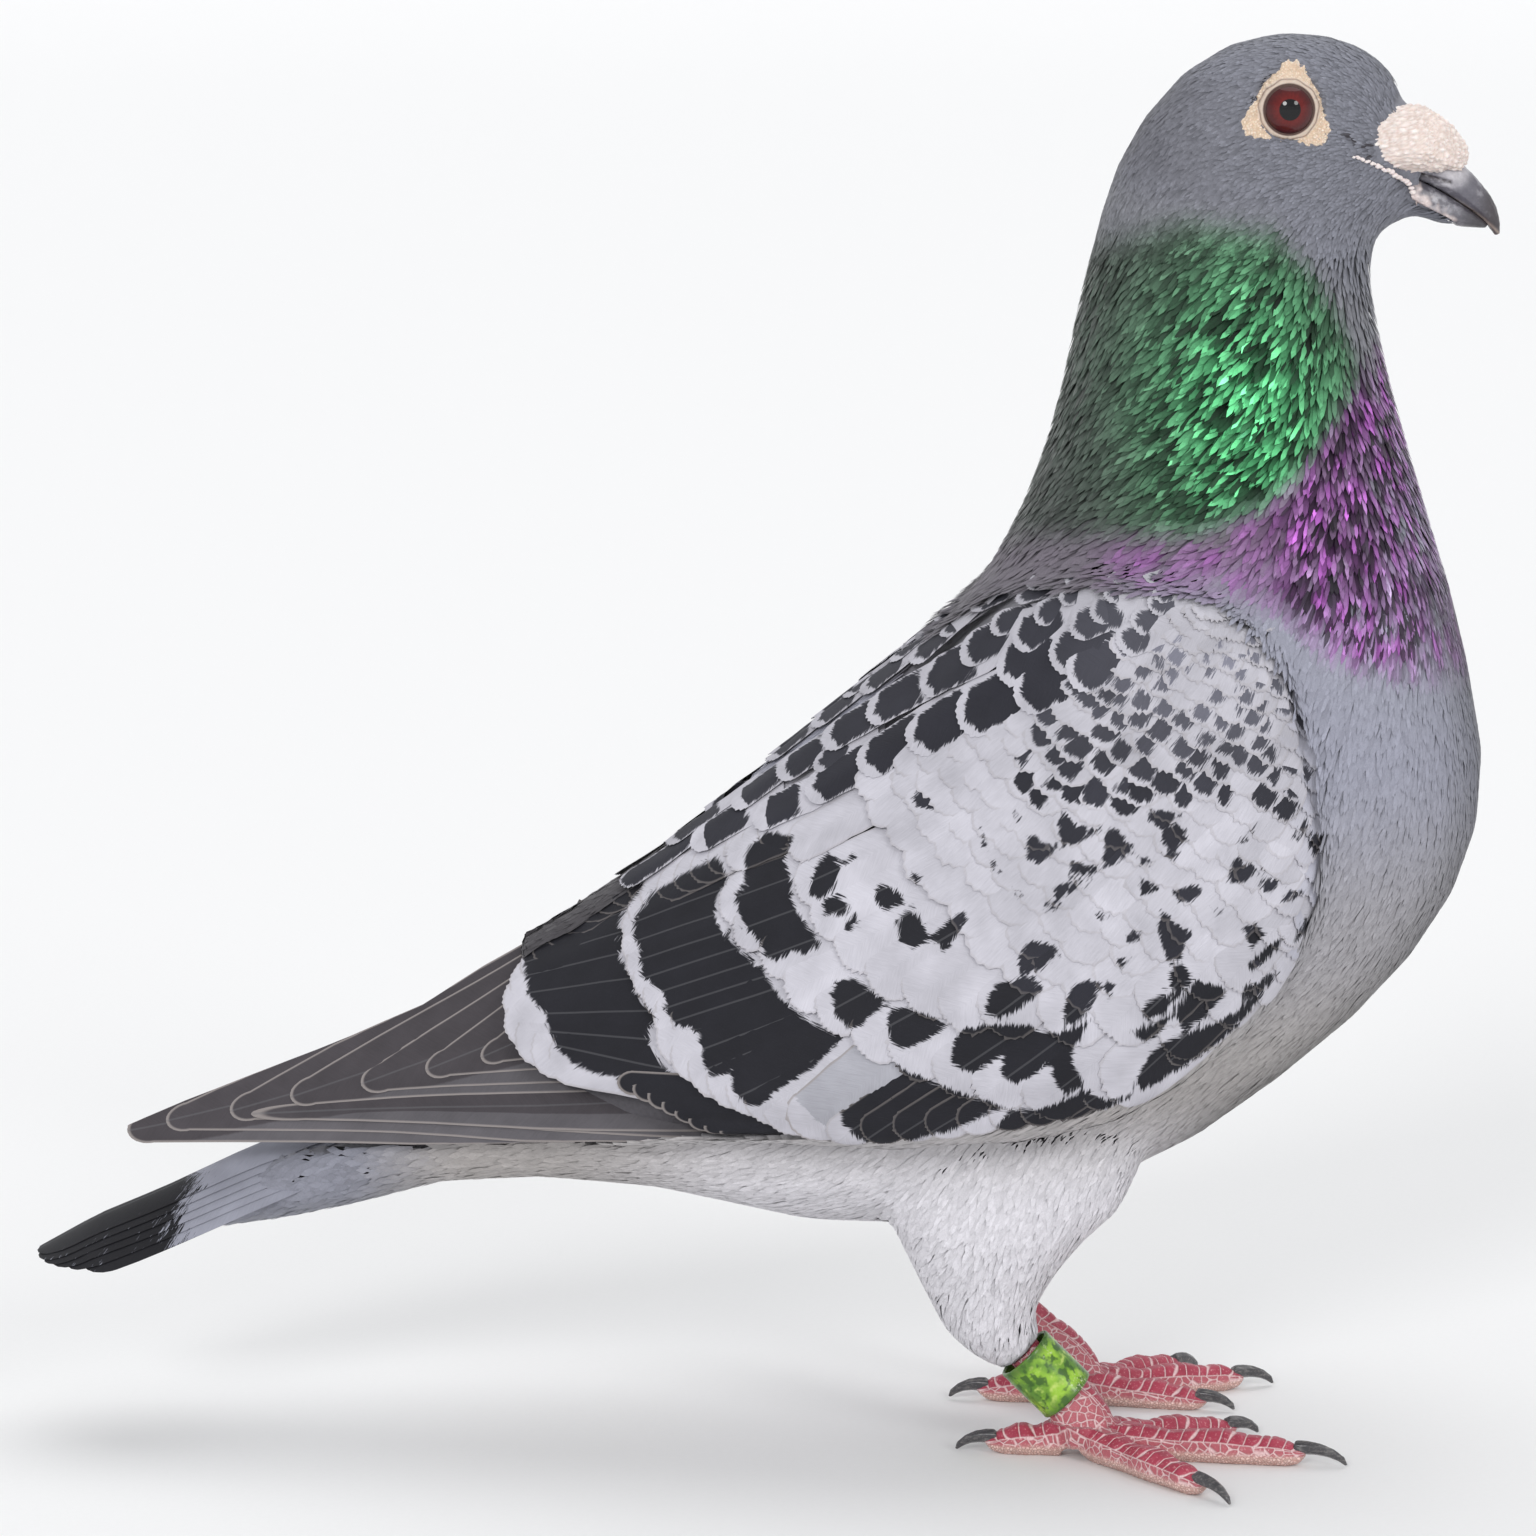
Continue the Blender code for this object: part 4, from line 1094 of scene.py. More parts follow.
        faces = sheet_faces(rows, columns, shown)[:, :: int(side)]
        cells = math.ceil(math.sqrt(count))
        spot = np.stack([np.arange(count) % cells, np.arange(count) // cells], axis=1)[:, None]
        local = np.stack([sideways / (2.3 * half) + 0.5, along_share * 0.92 + 0.04], axis=2)
        obj = make_piece(
            name,
            both(top, top - lifted * VANE_THICK),
            repeated(faces, count, 2 * shown),
            colours={"Pale": each(np.array(self.pale) * tone), "Dark": each(np.array(self.dark) * tone)},
            floats={
                "Ink": both(ink),
                "Rim": both(rim),
                "Seed": each(seeds),
                "Ragged": each(number["ragged"][:, 0]),
                "Line": each(number["line"][:, 0]),
                "Shaft": each(number["shaft"][:, 0]),
            },
            maps={"Vane": both(np.stack([sideways, to_tip], axis=2)), "OFBake": both((spot + local) / cells)},
            normals=both(lifted, -lifted),
        )
        finish_piece(obj, material, replaced)


def row_points(surface, start, heading_at, gap, stays):
    """Places a gap apart, across the feathers' headings and both ways from start, while stays says so."""
    found = []
    for sign in (1.0, -1.0):
        place = start.copy()
        for step in range(LONGEST_ROW):
            if step or sign < 0:
                for _ in range(3):
                    spot, normal = surface.nearest(place[None])
                    heading = along(heading_at(spot), normal)
                    place = (spot + sign * np.cross(normal, heading) * gap / 3)[0]
            if not stays(place):
                break
            found.append(place.copy())
    return found


# Where the shield ends and the scapulars begin.
SCAPULAR_EDGE = [
    (81, 156.5), (75, 153), (66, 148.5), (60, 143), (54, 139), (47, 136), (40, 132), (30, 128), (20, 124.5),
    (10, 119.5), (0, 115), (-12, 111.5), (-30, 103),
]
# The mantle's lower edge, and for each x how far from the midline it begins.
MANTLE_EDGE = [(-24, 108), (-8, 119.5), (6, 131), (20, 142), (34, 151.5), (60, 159)]
MANTLE_GAP = [(30, -0.5), (50, 6), (70, 14)]
# The ends of each group of long feathers lie on a line: (tip x, tip z, compass angle) at its corners.
TERTIAL_LINE = [
    (-36.5, 79.0, 174), (-40.6, 80.4, 178), (-43.4, 82.4, 183), (-44.8, 85.2, 189), (-44.6, 88.2, 194),
    (-43.0, 91.6, 199), (-40.0, 95.3, 204), (-36.6, 98.5, 207), (-31, 102.2, 209), (-20, 107.7, 210),
]
MIDDLE_LINE = [
    (-15.2, 82.6, 202), (-18, 84.6, 202), (-20.9, 87.9, 202), (-22.2, 90.6, 202), (-23.4, 93.8, 202),
    (-24, 97.7, 203), (-23.5, 101.4, 206), (-20.4, 104.8, 208), (-10, 110.4, 209), (0, 115.6, 210),
]
LOWER_LINE = [
    (2.0, 64.6, 214), (-3.4, 67.6, 210), (-8.3, 70.6, 207), (-12.8, 73.6, 205), (-16.3, 76.8, 204),
    (-18.5, 80.2, 203), (-18.2, 82.8, 203),
]
HEM_LINE = [
    (13.5, 61.6, 219), (20, 62.2, 216), (30, 63.2, 214), (40, 64.6, 213), (50, 66.2, 213), (58, 68.6, 214),
    (65, 71.8, 217), (73, 76.8, 221), (82, 83.4, 226), (88, 90.2, 231),
]
# Dark feathers behind the shield's lowest corner, with thin pale edges.
FAN_LINE = [
    (-25, 72.2, 180), (-21, 70.3, 180), (-17.5, 68, 179), (-14.8, 65.8, 178), (-11.5, 63.8, 177),
    (-7, 62.2, 176),
]
# The shield's two lowest rows of coverts: tip x, tip z, half width.
SECOND_ROW = [
    (-5.4, 111.8, 5.0), (-6.6, 103.4, 5.6), (-4.2, 98.4, 5.0), (0.6, 93.6, 5.0), (5.0, 87.8, 5.6),
    (10.6, 83.4, 5.4), (17, 78.8, 5.6), (23.5, 75.9, 6.0), (31.5, 72.0, 6.2), (38.5, 69.6, 6.4),
    (47.5, 67.5, 6.8), (61.5, 69.2, 8.2), (71, 77.6, 5.6), (79, 83.4, 5.2), (85.5, 89.5, 4.4), (91, 97, 3.6),
]
THIRD_ROW = [
    (5.5, 113, 4.8), (6.6, 106.0, 5.0), (9.5, 99.9, 5.2), (14.0, 94.3, 5.4), (19.5, 89.4, 5.6),
    (26, 86.2, 5.8), (32.5, 83.4, 5.8), (39.5, 82.6, 6.0), (50.5, 81.1, 6.8), (60, 81.0, 6.6),
    (67, 84.2, 6.0), (74, 88.5, 6.0), (81, 89.6, 5.6), (87.5, 97, 5.0),
]
# Where the wing's feathers are dark, seen from the side, from the tertials forwards and up.
PATCHES = [
    [(-24, 111.5), (-31.5, 106), (-37, 101), (-41, 96.5), (-40.6, 91.6), (-40, 87.3), (-37, 84.2),
     (-36.6, 81.6), (-35.4, 78.5), (-32.6, 75.8), (-30.6, 73.8), (-25, 73), (-20, 72), (-13, 71.4),
     (-16.7, 74.9), (-18.9, 78.5), (-19.3, 81.8), (-17.6, 83.3), (-21, 87.3), (-22.4, 90.2), (-23.7, 93.4),
     (-24.5, 97.5), (-24.1, 101.4), (-21, 105.2), (-20, 106.8), (-22, 108)],
    [(-18.4, 105.6), (-21.3, 101.5), (-21.8, 98.6), (-20.5, 95), (-20.4, 90.8), (-18, 89.2), (-16.2, 87.3),
     (-16.3, 84.5), (-14.5, 82.2), (-10.6, 81), (-9.7, 78.2), (-9.7, 75.3), (-8.1, 72.8), (-4.8, 73.9),
     (-4.4, 70.9), (-2.5, 68.2), (0, 67.8), (2.4, 69.7), (6.7, 72.8), (11.1, 76), (14.6, 79.6), (9.6, 82.4),
     (4.2, 86.4), (1.2, 91), (-2.4, 93.8), (-5, 97.2), (-7.6, 100.6), (-7.4, 104.6), (-5.4, 107.4),
     (-6.6, 112), (-10, 110.5)],
    [(1.5, 116), (-2.2, 113.1), (-2.4, 110.3), (-1.9, 106.8), (-4, 106), (-3.7, 103), (-2.8, 99.9),
     (-0.7, 97.8), (1.2, 94.4), (3, 93.2), (5.2, 94.9), (8, 94.7), (11, 96.4), (9.2, 98.8), (7.2, 101.4),
     (5.9, 104.4), (5.7, 107.6), (4.6, 111), (6, 115.4)],
    [(13, 90.1), (12.8, 87.3), (13.7, 83.5), (15.4, 81.4), (17.9, 82.1), (19.8, 84.1), (22.8, 86), (20, 87.8),
     (16.9, 90.4)],
    [(22.4, 84.8), (22.6, 81), (23.2, 78.4), (25.3, 77.7), (29, 79.2), (33.4, 82.2), (30, 83.7),
     (25.6, 85.4)],
    [(35.5, 81.6), (34.1, 79.3), (33.5, 75.4), (36.5, 73.6), (39.8, 74.9), (43, 77.1), (43.6, 75.6),
     (41.4, 74.9), (42.2, 73.2), (44.6, 71.9), (47.3, 72.7), (50.8, 75.4), (51.4, 73.3), (52.2, 70.8),
     (53.8, 69.9), (57.1, 71.3), (55, 74.9), (54.6, 77.5), (56.4, 79.7), (57.6, 83.1), (53.8, 81),
     (50.1, 80.7), (46.5, 82.3), (42, 82)],
    [(14.1, 67.6), (14.8, 64.6), (17.3, 62), (20.4, 60.3), (25.3, 61.2), (34.6, 63.7), (40.2, 66.4),
     (43.6, 67.4), (38, 69.3), (31, 71.8), (26.8, 73.6), (23.8, 75.7), (20, 72.6), (17, 69)],
    [(43.8, 67.2), (41.9, 64.5), (41.7, 62.4), (44.6, 61.6), (49, 61.8), (53.8, 63.6), (58.2, 65.8),
     (62.5, 68), (67, 70.6), (64, 69.4), (60.5, 68.9), (57, 70.6), (53, 68.6), (48, 67.2)],
    [(71, 79.4), (68.2, 76.8), (66.3, 73.8), (65.8, 71.2), (67.9, 70.9), (71.2, 73), (75.5, 75.6),
     (79.6, 78.4), (83.1, 81.7), (86.9, 86.2), (90.4, 91.4), (88.2, 91), (85.8, 86.9), (82.4, 84), (78.6, 82),
     (74.4, 80.6)],
    [(9.5, 109.7), (10.5, 110.6), (12, 112.8), (13.3, 111.4), (13.9, 108.7), (12.9, 105.6), (10.5, 104.3),
     (8.9, 104.9)],
    [(10.8, 103.7), (13.6, 105.4), (16, 103), (14.2, 101.2), (11.4, 101.5)],
    [(14.6, 110.4), (15.4, 112.5), (17.3, 111.8), (16, 110.6)],
    [(14.8, 99.9), (16.7, 102.1), (17.6, 99.3), (15.4, 98.6)],
    [(20.2, 106.2), (21.6, 107.3), (24.9, 105.1), (25.5, 103.2), (22.2, 102.2), (20.2, 103.7)],
    [(23.9, 100.5), (26.6, 103.2), (28.3, 100.5), (29.9, 97.4), (27.2, 95.6), (24.5, 96.8)],
    [(26, 109.4), (28.6, 108.6), (27.2, 107)],
    [(30.1, 98), (32.4, 100.3), (35.9, 102.2), (36.4, 101), (34.2, 97.4), (32.1, 94.9)],
    [(46.4, 96.4), (45.2, 94), (44.9, 91.4), (47.3, 91), (49.5, 92.4), (52.6, 94.4), (51.7, 96.2),
     (47.5, 97.1)],
    [(41.3, 89.5), (40, 87.1), (39.3, 84), (41.9, 83.4), (44.6, 84.5), (47.9, 86.8), (50.1, 89),
     (46.8, 90.5)],
    [(54, 87.6), (52.9, 84.6), (53.5, 82), (56, 82.8), (57.9, 85.4), (59.9, 89.5), (57.1, 90.3),
     (54.9, 89.3)],
    [(60.5, 90), (62.2, 89.8), (60.7, 86.6)],
    [(67.4, 86.2), (66.4, 84.6), (67.9, 83), (70.7, 84.2), (73.4, 87), (75.7, 89.2), (72, 87.8), (69, 86.9)],
    [(65, 81.1), (67.4, 78.9), (69.6, 80.2), (72.3, 83.6), (74.6, 87.3), (70.7, 83.4), (68, 82)],
    [(76.3, 90), (74.5, 87.1), (72.6, 83.7), (73.9, 81.6), (76.6, 82.2), (78.8, 84.6), (81.7, 88.1),
     (78.8, 89.5)],
    [(71.8, 92.8), (71.3, 89.8), (72.8, 88.2), (75.7, 90.3), (73.8, 93)],
    [(70.1, 102.1), (69.1, 99.2), (69.8, 97.6), (70.9, 93.5), (73.5, 93.5), (74.2, 96.4), (75.5, 98.5),
     (73.4, 99.6)],
    [(63.7, 98.1), (66.2, 98.9), (66.5, 97.3), (64.5, 96.4)],
    [(62.3, 93.6), (64.5, 94.2), (63.3, 91.3)],
    [(84, 99.3), (86.4, 99.9), (88.2, 98.1), (85.8, 95.7)],
    [(88.5, 96.1), (86.4, 94.2), (84.5, 92.4), (85.8, 91.8), (88.2, 93.1), (90.4, 95.9), (91.4, 97.7)],
    [(84.5, 89.2), (84.2, 86.8), (86, 86.8), (88.9, 89.8)],
    [(95.4, 101.6), (98, 101.1), (96.1, 99.2), (93.2, 96.8), (94, 99.2)],
    [(52.8, 120.3), (52, 117.4), (52.3, 114.7), (54.7, 113.8), (57.1, 115), (59.7, 116.7), (56, 117),
     (53.8, 118.4)],
    [(46.3, 115.6), (46.6, 113.2), (46.1, 111.1), (49, 110.7), (51.1, 112.3), (53.4, 113.6), (49.5, 114),
     (47.9, 115.4)],
    [(60.4, 115.9), (59.6, 111.3), (60.9, 110.1), (63.6, 112), (65.5, 113), (63.6, 114.8), (62, 117)],
    [(70.1, 116.5), (69.9, 114), (71.7, 112.7), (74.6, 114.6), (73.9, 116.5), (72.3, 117.8)],
    [(54.2, 111.2), (54.2, 109), (56.6, 108.3), (60, 109.7), (56.6, 110.4)],
    [(51.5, 106.2), (51.5, 104.5), (54.4, 105.3), (57.4, 107.4), (53.8, 107.1)],
    [(49.9, 103.7), (49.6, 102.3), (51.1, 102.3), (53.6, 104.3)],
    [(66.1, 108.7), (66.7, 104.8), (69.9, 106.3), (67.4, 107.4)],
    [(72, 105.8), (72.6, 103.7), (75, 103.9), (77.1, 105.9), (75, 106.8)],
    [(78.6, 103.1), (81.2, 102.5), (79.3, 101.2)],
    [(82, 110.9), (81.6, 107.2), (84.2, 107.2), (87.7, 109.6), (84.7, 110.4), (83.4, 111.8)],
    [(87.5, 108.2), (86.7, 106.1), (88.5, 105.3), (90.9, 107.5)],
    [(92.3, 106), (90.5, 103.7), (92.3, 103.9), (95, 105.6)],
    [(95.5, 115.9), (95.7, 113.2), (96.4, 111.4), (98.6, 115.6)],
    [(95, 118.7), (92.1, 114.7), (94, 114.7), (95.3, 116.8)],
    [(86.6, 117.6), (82.9, 113.8), (84.7, 114.4)],
    [(67.7, 120), (67.7, 118), (70.1, 116.6), (73.6, 119.2), (70.7, 120)],
    [(44.2, 120), (44.4, 118), (45.9, 118.4)],
    [(38.5, 117), (38.7, 113.3), (40.2, 113)],
    [(40.1, 112), (40.6, 109.4), (42.4, 108.9)],
    [(58.5, 102.1), (61.2, 101.3), (59.8, 100.3)],
    [(44.4, 106.2), (46.5, 105), (45, 104.3)],
    [(65.6, 112), (69, 111), (66.8, 110)],
    [(69.9, 112), (73.3, 112.7), (72, 110.7)],
]
# The scapulars, row by row from the rump forwards: tip x, tip z, half width, pale end, dark part's length.
SCAPULARS = [
    [(-24, 106.5, 3.6, 0.5, 14), (-10.5, 113.5, 4.4, 5.5, 6), (-0.5, 118.2, 4.4, 4.0, 5),
     (8.3, 122.4, 4.6, 3.0, 9), (17.4, 126.8, 4.8, 2.8, 9), (26.2, 131.4, 5.0, 2.6, 9),
     (35.2, 135.6, 5.2, 2.4, 10), (45.5, 139.6, 4.6, 2.2, 8), (53.5, 143.0, 4.2, 2.0, 7)],
    [(-15.5, 113.8, 3.8, 2.5, 8), (-4.5, 120.4, 4.0, 3.5, 6), (3.5, 125.4, 4.2, 2.8, 6),
     (11.0, 131.0, 4.4, 3.0, 7), (19.2, 136.2, 4.6, 2.6, 8), (28.4, 141.0, 4.8, 2.4, 9),
     (41.8, 143.6, 4.4, 2.2, 8), (50.5, 146.2, 4.0, 1.8, 9), (62, 148.4, 3.0, 1.6, 6)],
    [(-9.5, 119.4, 3.6, 2.5, 6), (2.0, 128.0, 3.8, 2.6, 6), (10.0, 134.0, 3.8, 2.6, 6),
     (18.0, 140.0, 3.8, 2.4, 6), (26.0, 145.4, 3.8, 2.2, 6), (35.4, 146.8, 4.2, 2.2, 7),
     (44.4, 149.6, 3.8, 1.8, 7), (54.0, 150.8, 3.2, 1.6, 7), (64.5, 151.6, 2.6, 1.4, 5)],
    [(5.5, 132.6, 3.2, 2.0, 4), (14.5, 139.2, 3.2, 2.0, 4), (23.5, 145.8, 3.2, 2.0, 5),
     (32.4, 150.0, 3.2, 1.8, 5), (40.5, 152.4, 3.0, 1.6, 5), (48.5, 153.4, 2.8, 1.5, 6),
     (57.5, 154.0, 2.6, 1.4, 6), (67, 154.6, 2.2, 1.2, 5)],
    [(30.5, 151.6, 2.6, 1.6, 4), (37.5, 154.2, 2.6, 1.5, 4), (45.0, 155.8, 2.4, 1.4, 4),
     (52.5, 156.4, 2.2, 1.3, 4.5), (60.0, 156.6, 2.0, 1.2, 4.5), (68.0, 157.0, 1.8, 1.0, 4)],
    [(39.5, 157.4, 2.2, 1.3, 3), (46.5, 158.6, 2.0, 1.2, 3), (53.5, 159.0, 1.9, 1.1, 3.5),
     (60.5, 159.2, 1.8, 1.0, 3.5), (67.0, 159.2, 1.7, 0.9, 3)],
]
# The lie of the scapulars and the mantle, as that of the wing.
SCAPULAR_LIE = [
    (-20, 110, 205), (0, 121, 213), (20, 132, 215), (35, 142, 213), (48, 147, 210), (62, 152, 201),
    (60, 158, 196),
]


def deep_root(x, z):
    """How much deeper a feather's root sits where its row ends, along the neck and the breast."""
    gap, _ = from_line(np.array([x]), np.array([z]), WING_FRONT)
    return 2.0 * soft_step(11, 3, gap[0])


def flat_heading(angle):
    """The heading that points at a compass angle, seen from the side."""
    return np.array([math.cos(math.radians(angle)), 0.0, math.sin(math.radians(angle))])


def scapular_heading(points):
    """Headings of the mantle's feathers at these places."""
    return compass_heading(points, SCAPULAR_LIE, 3.0)


def patch_depth(x, z):
    """How far inside a dark patch each side view place lies, or minus how far outside all of them."""
    depth = np.full(len(x), -9.0)
    for outline in PATCHES:
        gap, _ = from_line(x, z, outline + outline[:1])
        depth = np.maximum(depth, np.where(inside(outline, x, z), gap, -gap))
    return depth


def add_along(plumes, surface, side, ends, spacing, layers, **numbers):
    """Feathers whose tips lie a spacing apart on the line of ends, with layers from first to last."""
    corners = np.array(ends, float)
    runs = runs_of(corners[:, :2])
    count = max(2, round(runs[-1] / spacing) + 1)
    for share in np.linspace(0, 1, count):
        x, z, angle = (np.interp(share * runs[-1], runs, corners[:, kind]) for kind in range(3))
        layer = layers[0] + (layers[1] - layers[0]) * share
        plumes.add(surface.seen_from(side, x, z), flat_heading(angle), layer=layer, **numbers)


def add_row(plumes, surface, side, row, length, layer):
    """A row of the shield whose tips and widths are listed."""
    for x, z, half in row:
        tip = surface.seen_from(side, x, z)
        short = np.interp(x, [70, 92], [1.0, 0.4])
        # The grey edge line is painted shade where it runs along pale webs.
        plumes.add(
            tip, wing_heading(tip[None])[0], length=length * short, half=half, layer=layer + 0.004 * x,
            tilt=0.012, sink=1.0 + deep_root(x, z), ragged=2.6, line=0.22, shaft=0.3, taper=0.85,
            lean=-0.3, jag=0.2, mapped=1,
        )


def add_large_feathers(plumes, surface, side):
    """Tertials, secondaries and the lowest rows of coverts, each group over the one behind it."""
    add_along(
        plumes, surface, side, FAN_LINE, 3.0, (-0.9, -1.15), pale=WING_SMOKE, length=30, half=2.3, fringe=-2,
        side_fringe=-2, line=0.7, sink=0.4, ragged=0.6, jag=0.03, lean=0.3, taper=0.9,
    )
    # Their edge line is painted shade where it runs along pale webs, and a pale edge along dark ones.
    long = dict(mapped=1, sink=0.9, ragged=2.6, line=0.3, shaft=0.3, lean=-0.1, taper=0.9, jag=0.1)
    add_along(plumes, surface, side, TERTIAL_LINE, 3.2, (-0.8, -0.1), length=52, half=6.6, **long)
    add_along(plumes, surface, side, MIDDLE_LINE, 3.4, (0.0, 0.3), length=42, half=6.0, **long)
    add_along(plumes, surface, side, LOWER_LINE, 4.0, (0.14, 0.05), length=34, half=6.0, **long)
    plumes.add(
        surface.seen_from(side, 6.8, 63.0), flat_heading(221), dark=CORNER_GREY, length=32, half=6.4,
        fringe=5.0, side_fringe=-1, layer=0.26, sink=0.8, shaft=0.0, jag=0.15, line=0.7, ragged=5.0,
    )
    add_along(plumes, surface, side, HEM_LINE, 5.5, (0.36, 0.36), length=26, half=4.2, **long)
    add_row(plumes, surface, side, SECOND_ROW, 27, 0.48)
    add_row(plumes, surface, side, THIRD_ROW, 24, 0.62)


def add_shield(plumes, surface, side, draw):
    """Rows of coverts above the listed ones, up to the shoulder."""
    third = [(x, z) for x, z, _ in THIRD_ROW]
    start = np.array([(80.0, 153.5), (74, 138), (66, 122), (56, 107), (47, 94), (41, 86.5)])
    lengths = runs_of(start)
    rows = []
    reach, gap = 1.0, 2.6
    while reach < lengths[-1]:
        rows.append((reach, gap))
        reach += gap
        gap = 2.6 + 3.4 * (reach / lengths[-1]) ** 1.1

    def stays(place):
        x, z = side_view(place[None])
        if z[0] < 70 or place[1] * side < 6:
            return False
        return inside(WING_OUTLINE, x, z)[0] and z[0] < line_at(x[0], SCAPULAR_EDGE[::-1]) + 2.5

    for index, (reach, gap) in enumerate(reversed(rows)):
        x, z = (np.interp(reach, lengths, kind) for kind in start.T)
        wide = gap * 1.15
        spot, normal = surface.nearest(surface.seen_from(side, x, z)[None])
        heading = along(wing_heading(spot), normal)
        first = (spot + np.cross(normal, heading) * (index % 2) * 0.5 * wide)[0]
        for tip in row_points(surface, first, wing_heading, wide, stays):
            x, z = np.concatenate(side_view(tip[None]))
            if z < line_at(x, third) + 4.5 and x < 84 or x < 2:
                continue
            add_covert(plumes, tip, gap, draw, 0.74 + 0.004 * index)


def add_covert(plumes, tip, gap, draw, layer):
    """One covert of the shield: a smoky spot of its own by the shoulder, the listed patches lower down."""
    x, z = np.concatenate(side_view(tip[None]))
    upper = soft_step(118, 134, z + 0.15 * (x - 60))
    bald = max(soft_step(46, 36, x) * soft_step(112, 118, z), soft_step(10, 5, math.hypot(x - 77, z - 154)))
    edge = soft_step(90, 98, x + 0.10 * abs(z - 112))
    # Spots are small and smoky by the shoulder's corner, and larger and darker away from it.
    off = soft_step(5, 30, math.hypot(x - 78, z - 152))
    marked = draw.random() < 0.9 * (1 - 0.95 * bald) * (1 - 0.5 * edge)
    size = draw.uniform(0.75, 1.25) * (0.55 + 0.45 * off)
    smoke = np.array(WING_SMOKE) * (3.2 - 1.9 * off)
    ink = mixed(np.array(WING_INK) * 1.6, smoke, upper * (1 - 0.45 * off)) * draw.uniform(0.85, 1.3)
    pale = mixed(np.array(WING_PALE) * (1 - 0.10 * upper), np.array(BREAST_GREY) * 1.35, edge * 0.7)
    # The grey edge line is painted shade where it runs along pale webs.
    plumes.add(
        tip + draw.normal(0, 0.12 * gap, 3), wing_heading(tip[None])[0] + draw.normal(0, 0.07, 3),
        pale=pale, dark=ink, length=gap * 2.9, half=gap * 0.92, fringe=gap * draw.uniform(0.12, 0.34),
        side_fringe=gap * 0.05, depth=gap * (0.5 + 0.55 * size) if marked else -9.0,
        blot=0.5 * gap * size * 1.1, blot_at=draw.normal(0.0, 0.25) * gap, layer=layer - 0.5 * edge,
        tilt=0.01, sink=0.45 + deep_root(x, z), rise=draw.normal(0.0, 0.02), ragged=2.6 + 0.6 * upper,
        jag=0.2, taper=0.6, line=0.22, mapped=1 if z < 119.5 - 0.02 * x else 0,
    )


def add_scapulars(plumes, surface, side, draw):
    """Rows of dark feathers with pale ends over the upper back."""
    lie = np.array(SCAPULAR_LIE, float)
    for row, tips in enumerate(SCAPULARS):
        hidden = np.interp(row, [2, 4], [14, 5])
        pale = np.array(WING_PALE) * (0.97 - 0.04 * row)
        for x, z, half, fringe, depth in tips:
            nearest = np.argsort(np.hypot(lie[:, 0] - x, lie[:, 1] - z))[:2]
            heading = flat_heading(lie[nearest, 2].mean() + draw.normal(0, 2.5))
            smoky = soft_step(42, 62, x) * 0.7 + 0.05 * row
            fade = 1 - 0.45 * soft_step(50, 64, x)
            ink = mixed(np.array(WING_INK) * 1.7, np.array(WING_SMOKE) * 1.6, smoky)
            tip = surface.seen_from(side, x + draw.normal(0, 0.3), z + draw.normal(0, 0.3))
            plumes.add(
                tip, heading, dark=ink, pale=pale, length=depth + hidden, half=half, fringe=fringe * 0.85,
                side_fringe=0.3, depth=(depth + 1.5) * fade, blot=half * 1.3 * fade, blot_at=0.1 * half,
                layer=0.86 + 0.003 * x - 0.03 * row, tilt=0.012, sink=0.9 + deep_root(x, z), rise=0.05,
                ragged=3.0, jag=0.13, taper=0.75, lean=-0.2,
            )


def add_mantle(plumes, surface, side, draw):
    """Small soft streaked feathers between the scapulars and the spine."""
    start = np.array([(34.0, 153.0), (20.0, 143.5), (6, 132.5), (-8, 121.0), (-24, 109.5)])
    lengths = runs_of(start)

    def stays(place):
        x, z = np.concatenate(side_view(place[None]))
        above = line_at(x, MANTLE_EDGE) < z < 158.5
        return above and place[1] * side > line_at(x, MANTLE_GAP) and x > -60

    for index, reach in enumerate(np.arange(lengths[-1], 0.0, -3.4)):
        first = surface.seen_from(side, *(np.interp(reach, lengths, kind) for kind in start.T))
        for tip in row_points(surface, first, scapular_heading, 3.9, stays):
            shade = draw.uniform(0.6, 1.0)
            rear = soft_step(0, -16, tip[0])
            plumes.add(
                tip + draw.normal(0, 0.4, 3), scapular_heading(tip[None])[0],
                dark=np.array(WING_SMOKE) * 1.2 * (1 - 0.5 * rear),
                pale=mixed(np.array(WING_PALE) * 0.72 * shade, np.array(WING_SMOKE) * 0.9, rear),
                length=11, half=2.9, fringe=draw.uniform(0.9, 1.8), side_fringe=0.3,
                depth=draw.uniform(2.5, 5), blot=draw.uniform(1.2, 2.2), layer=0.1 + 0.015 * index,
                sink=1.3, ragged=2.2, jag=0.15, taper=0.6,
            )


def make_wing_feathers(surface):
    """The shield and the scapulars of both wings, each side its own pieces."""
    slanted = vane_material("vane_wing")
    streaked = vane_material("vane_small", streaked=True)
    for side_name, side in SIDES.items():
        draw = np.random.default_rng(5 if side < 0 else 6)
        large = Plumes()
        add_large_feathers(large, surface, side)
        shield = Plumes()
        add_shield(shield, surface, side, draw)
        scapulars = Plumes()
        add_mantle(scapulars, surface, side, draw)
        add_scapulars(scapulars, surface, side, draw)
        for name, plumes, material, seed, straight, columns in (
            ("wing_large", large, slanted, 70, 10, 16),
            ("wing_coverts", shield, streaked, 71, 7, 8),
            ("scapulars", scapulars, slanted, 72, 7, 12),
        ):
            plumes.make(
                f"{name}_{side_name}", surface, side, material, "wing_feathers", seed, straight, columns
            )


# ---------------------------------------------------------------- flight feathers and tail

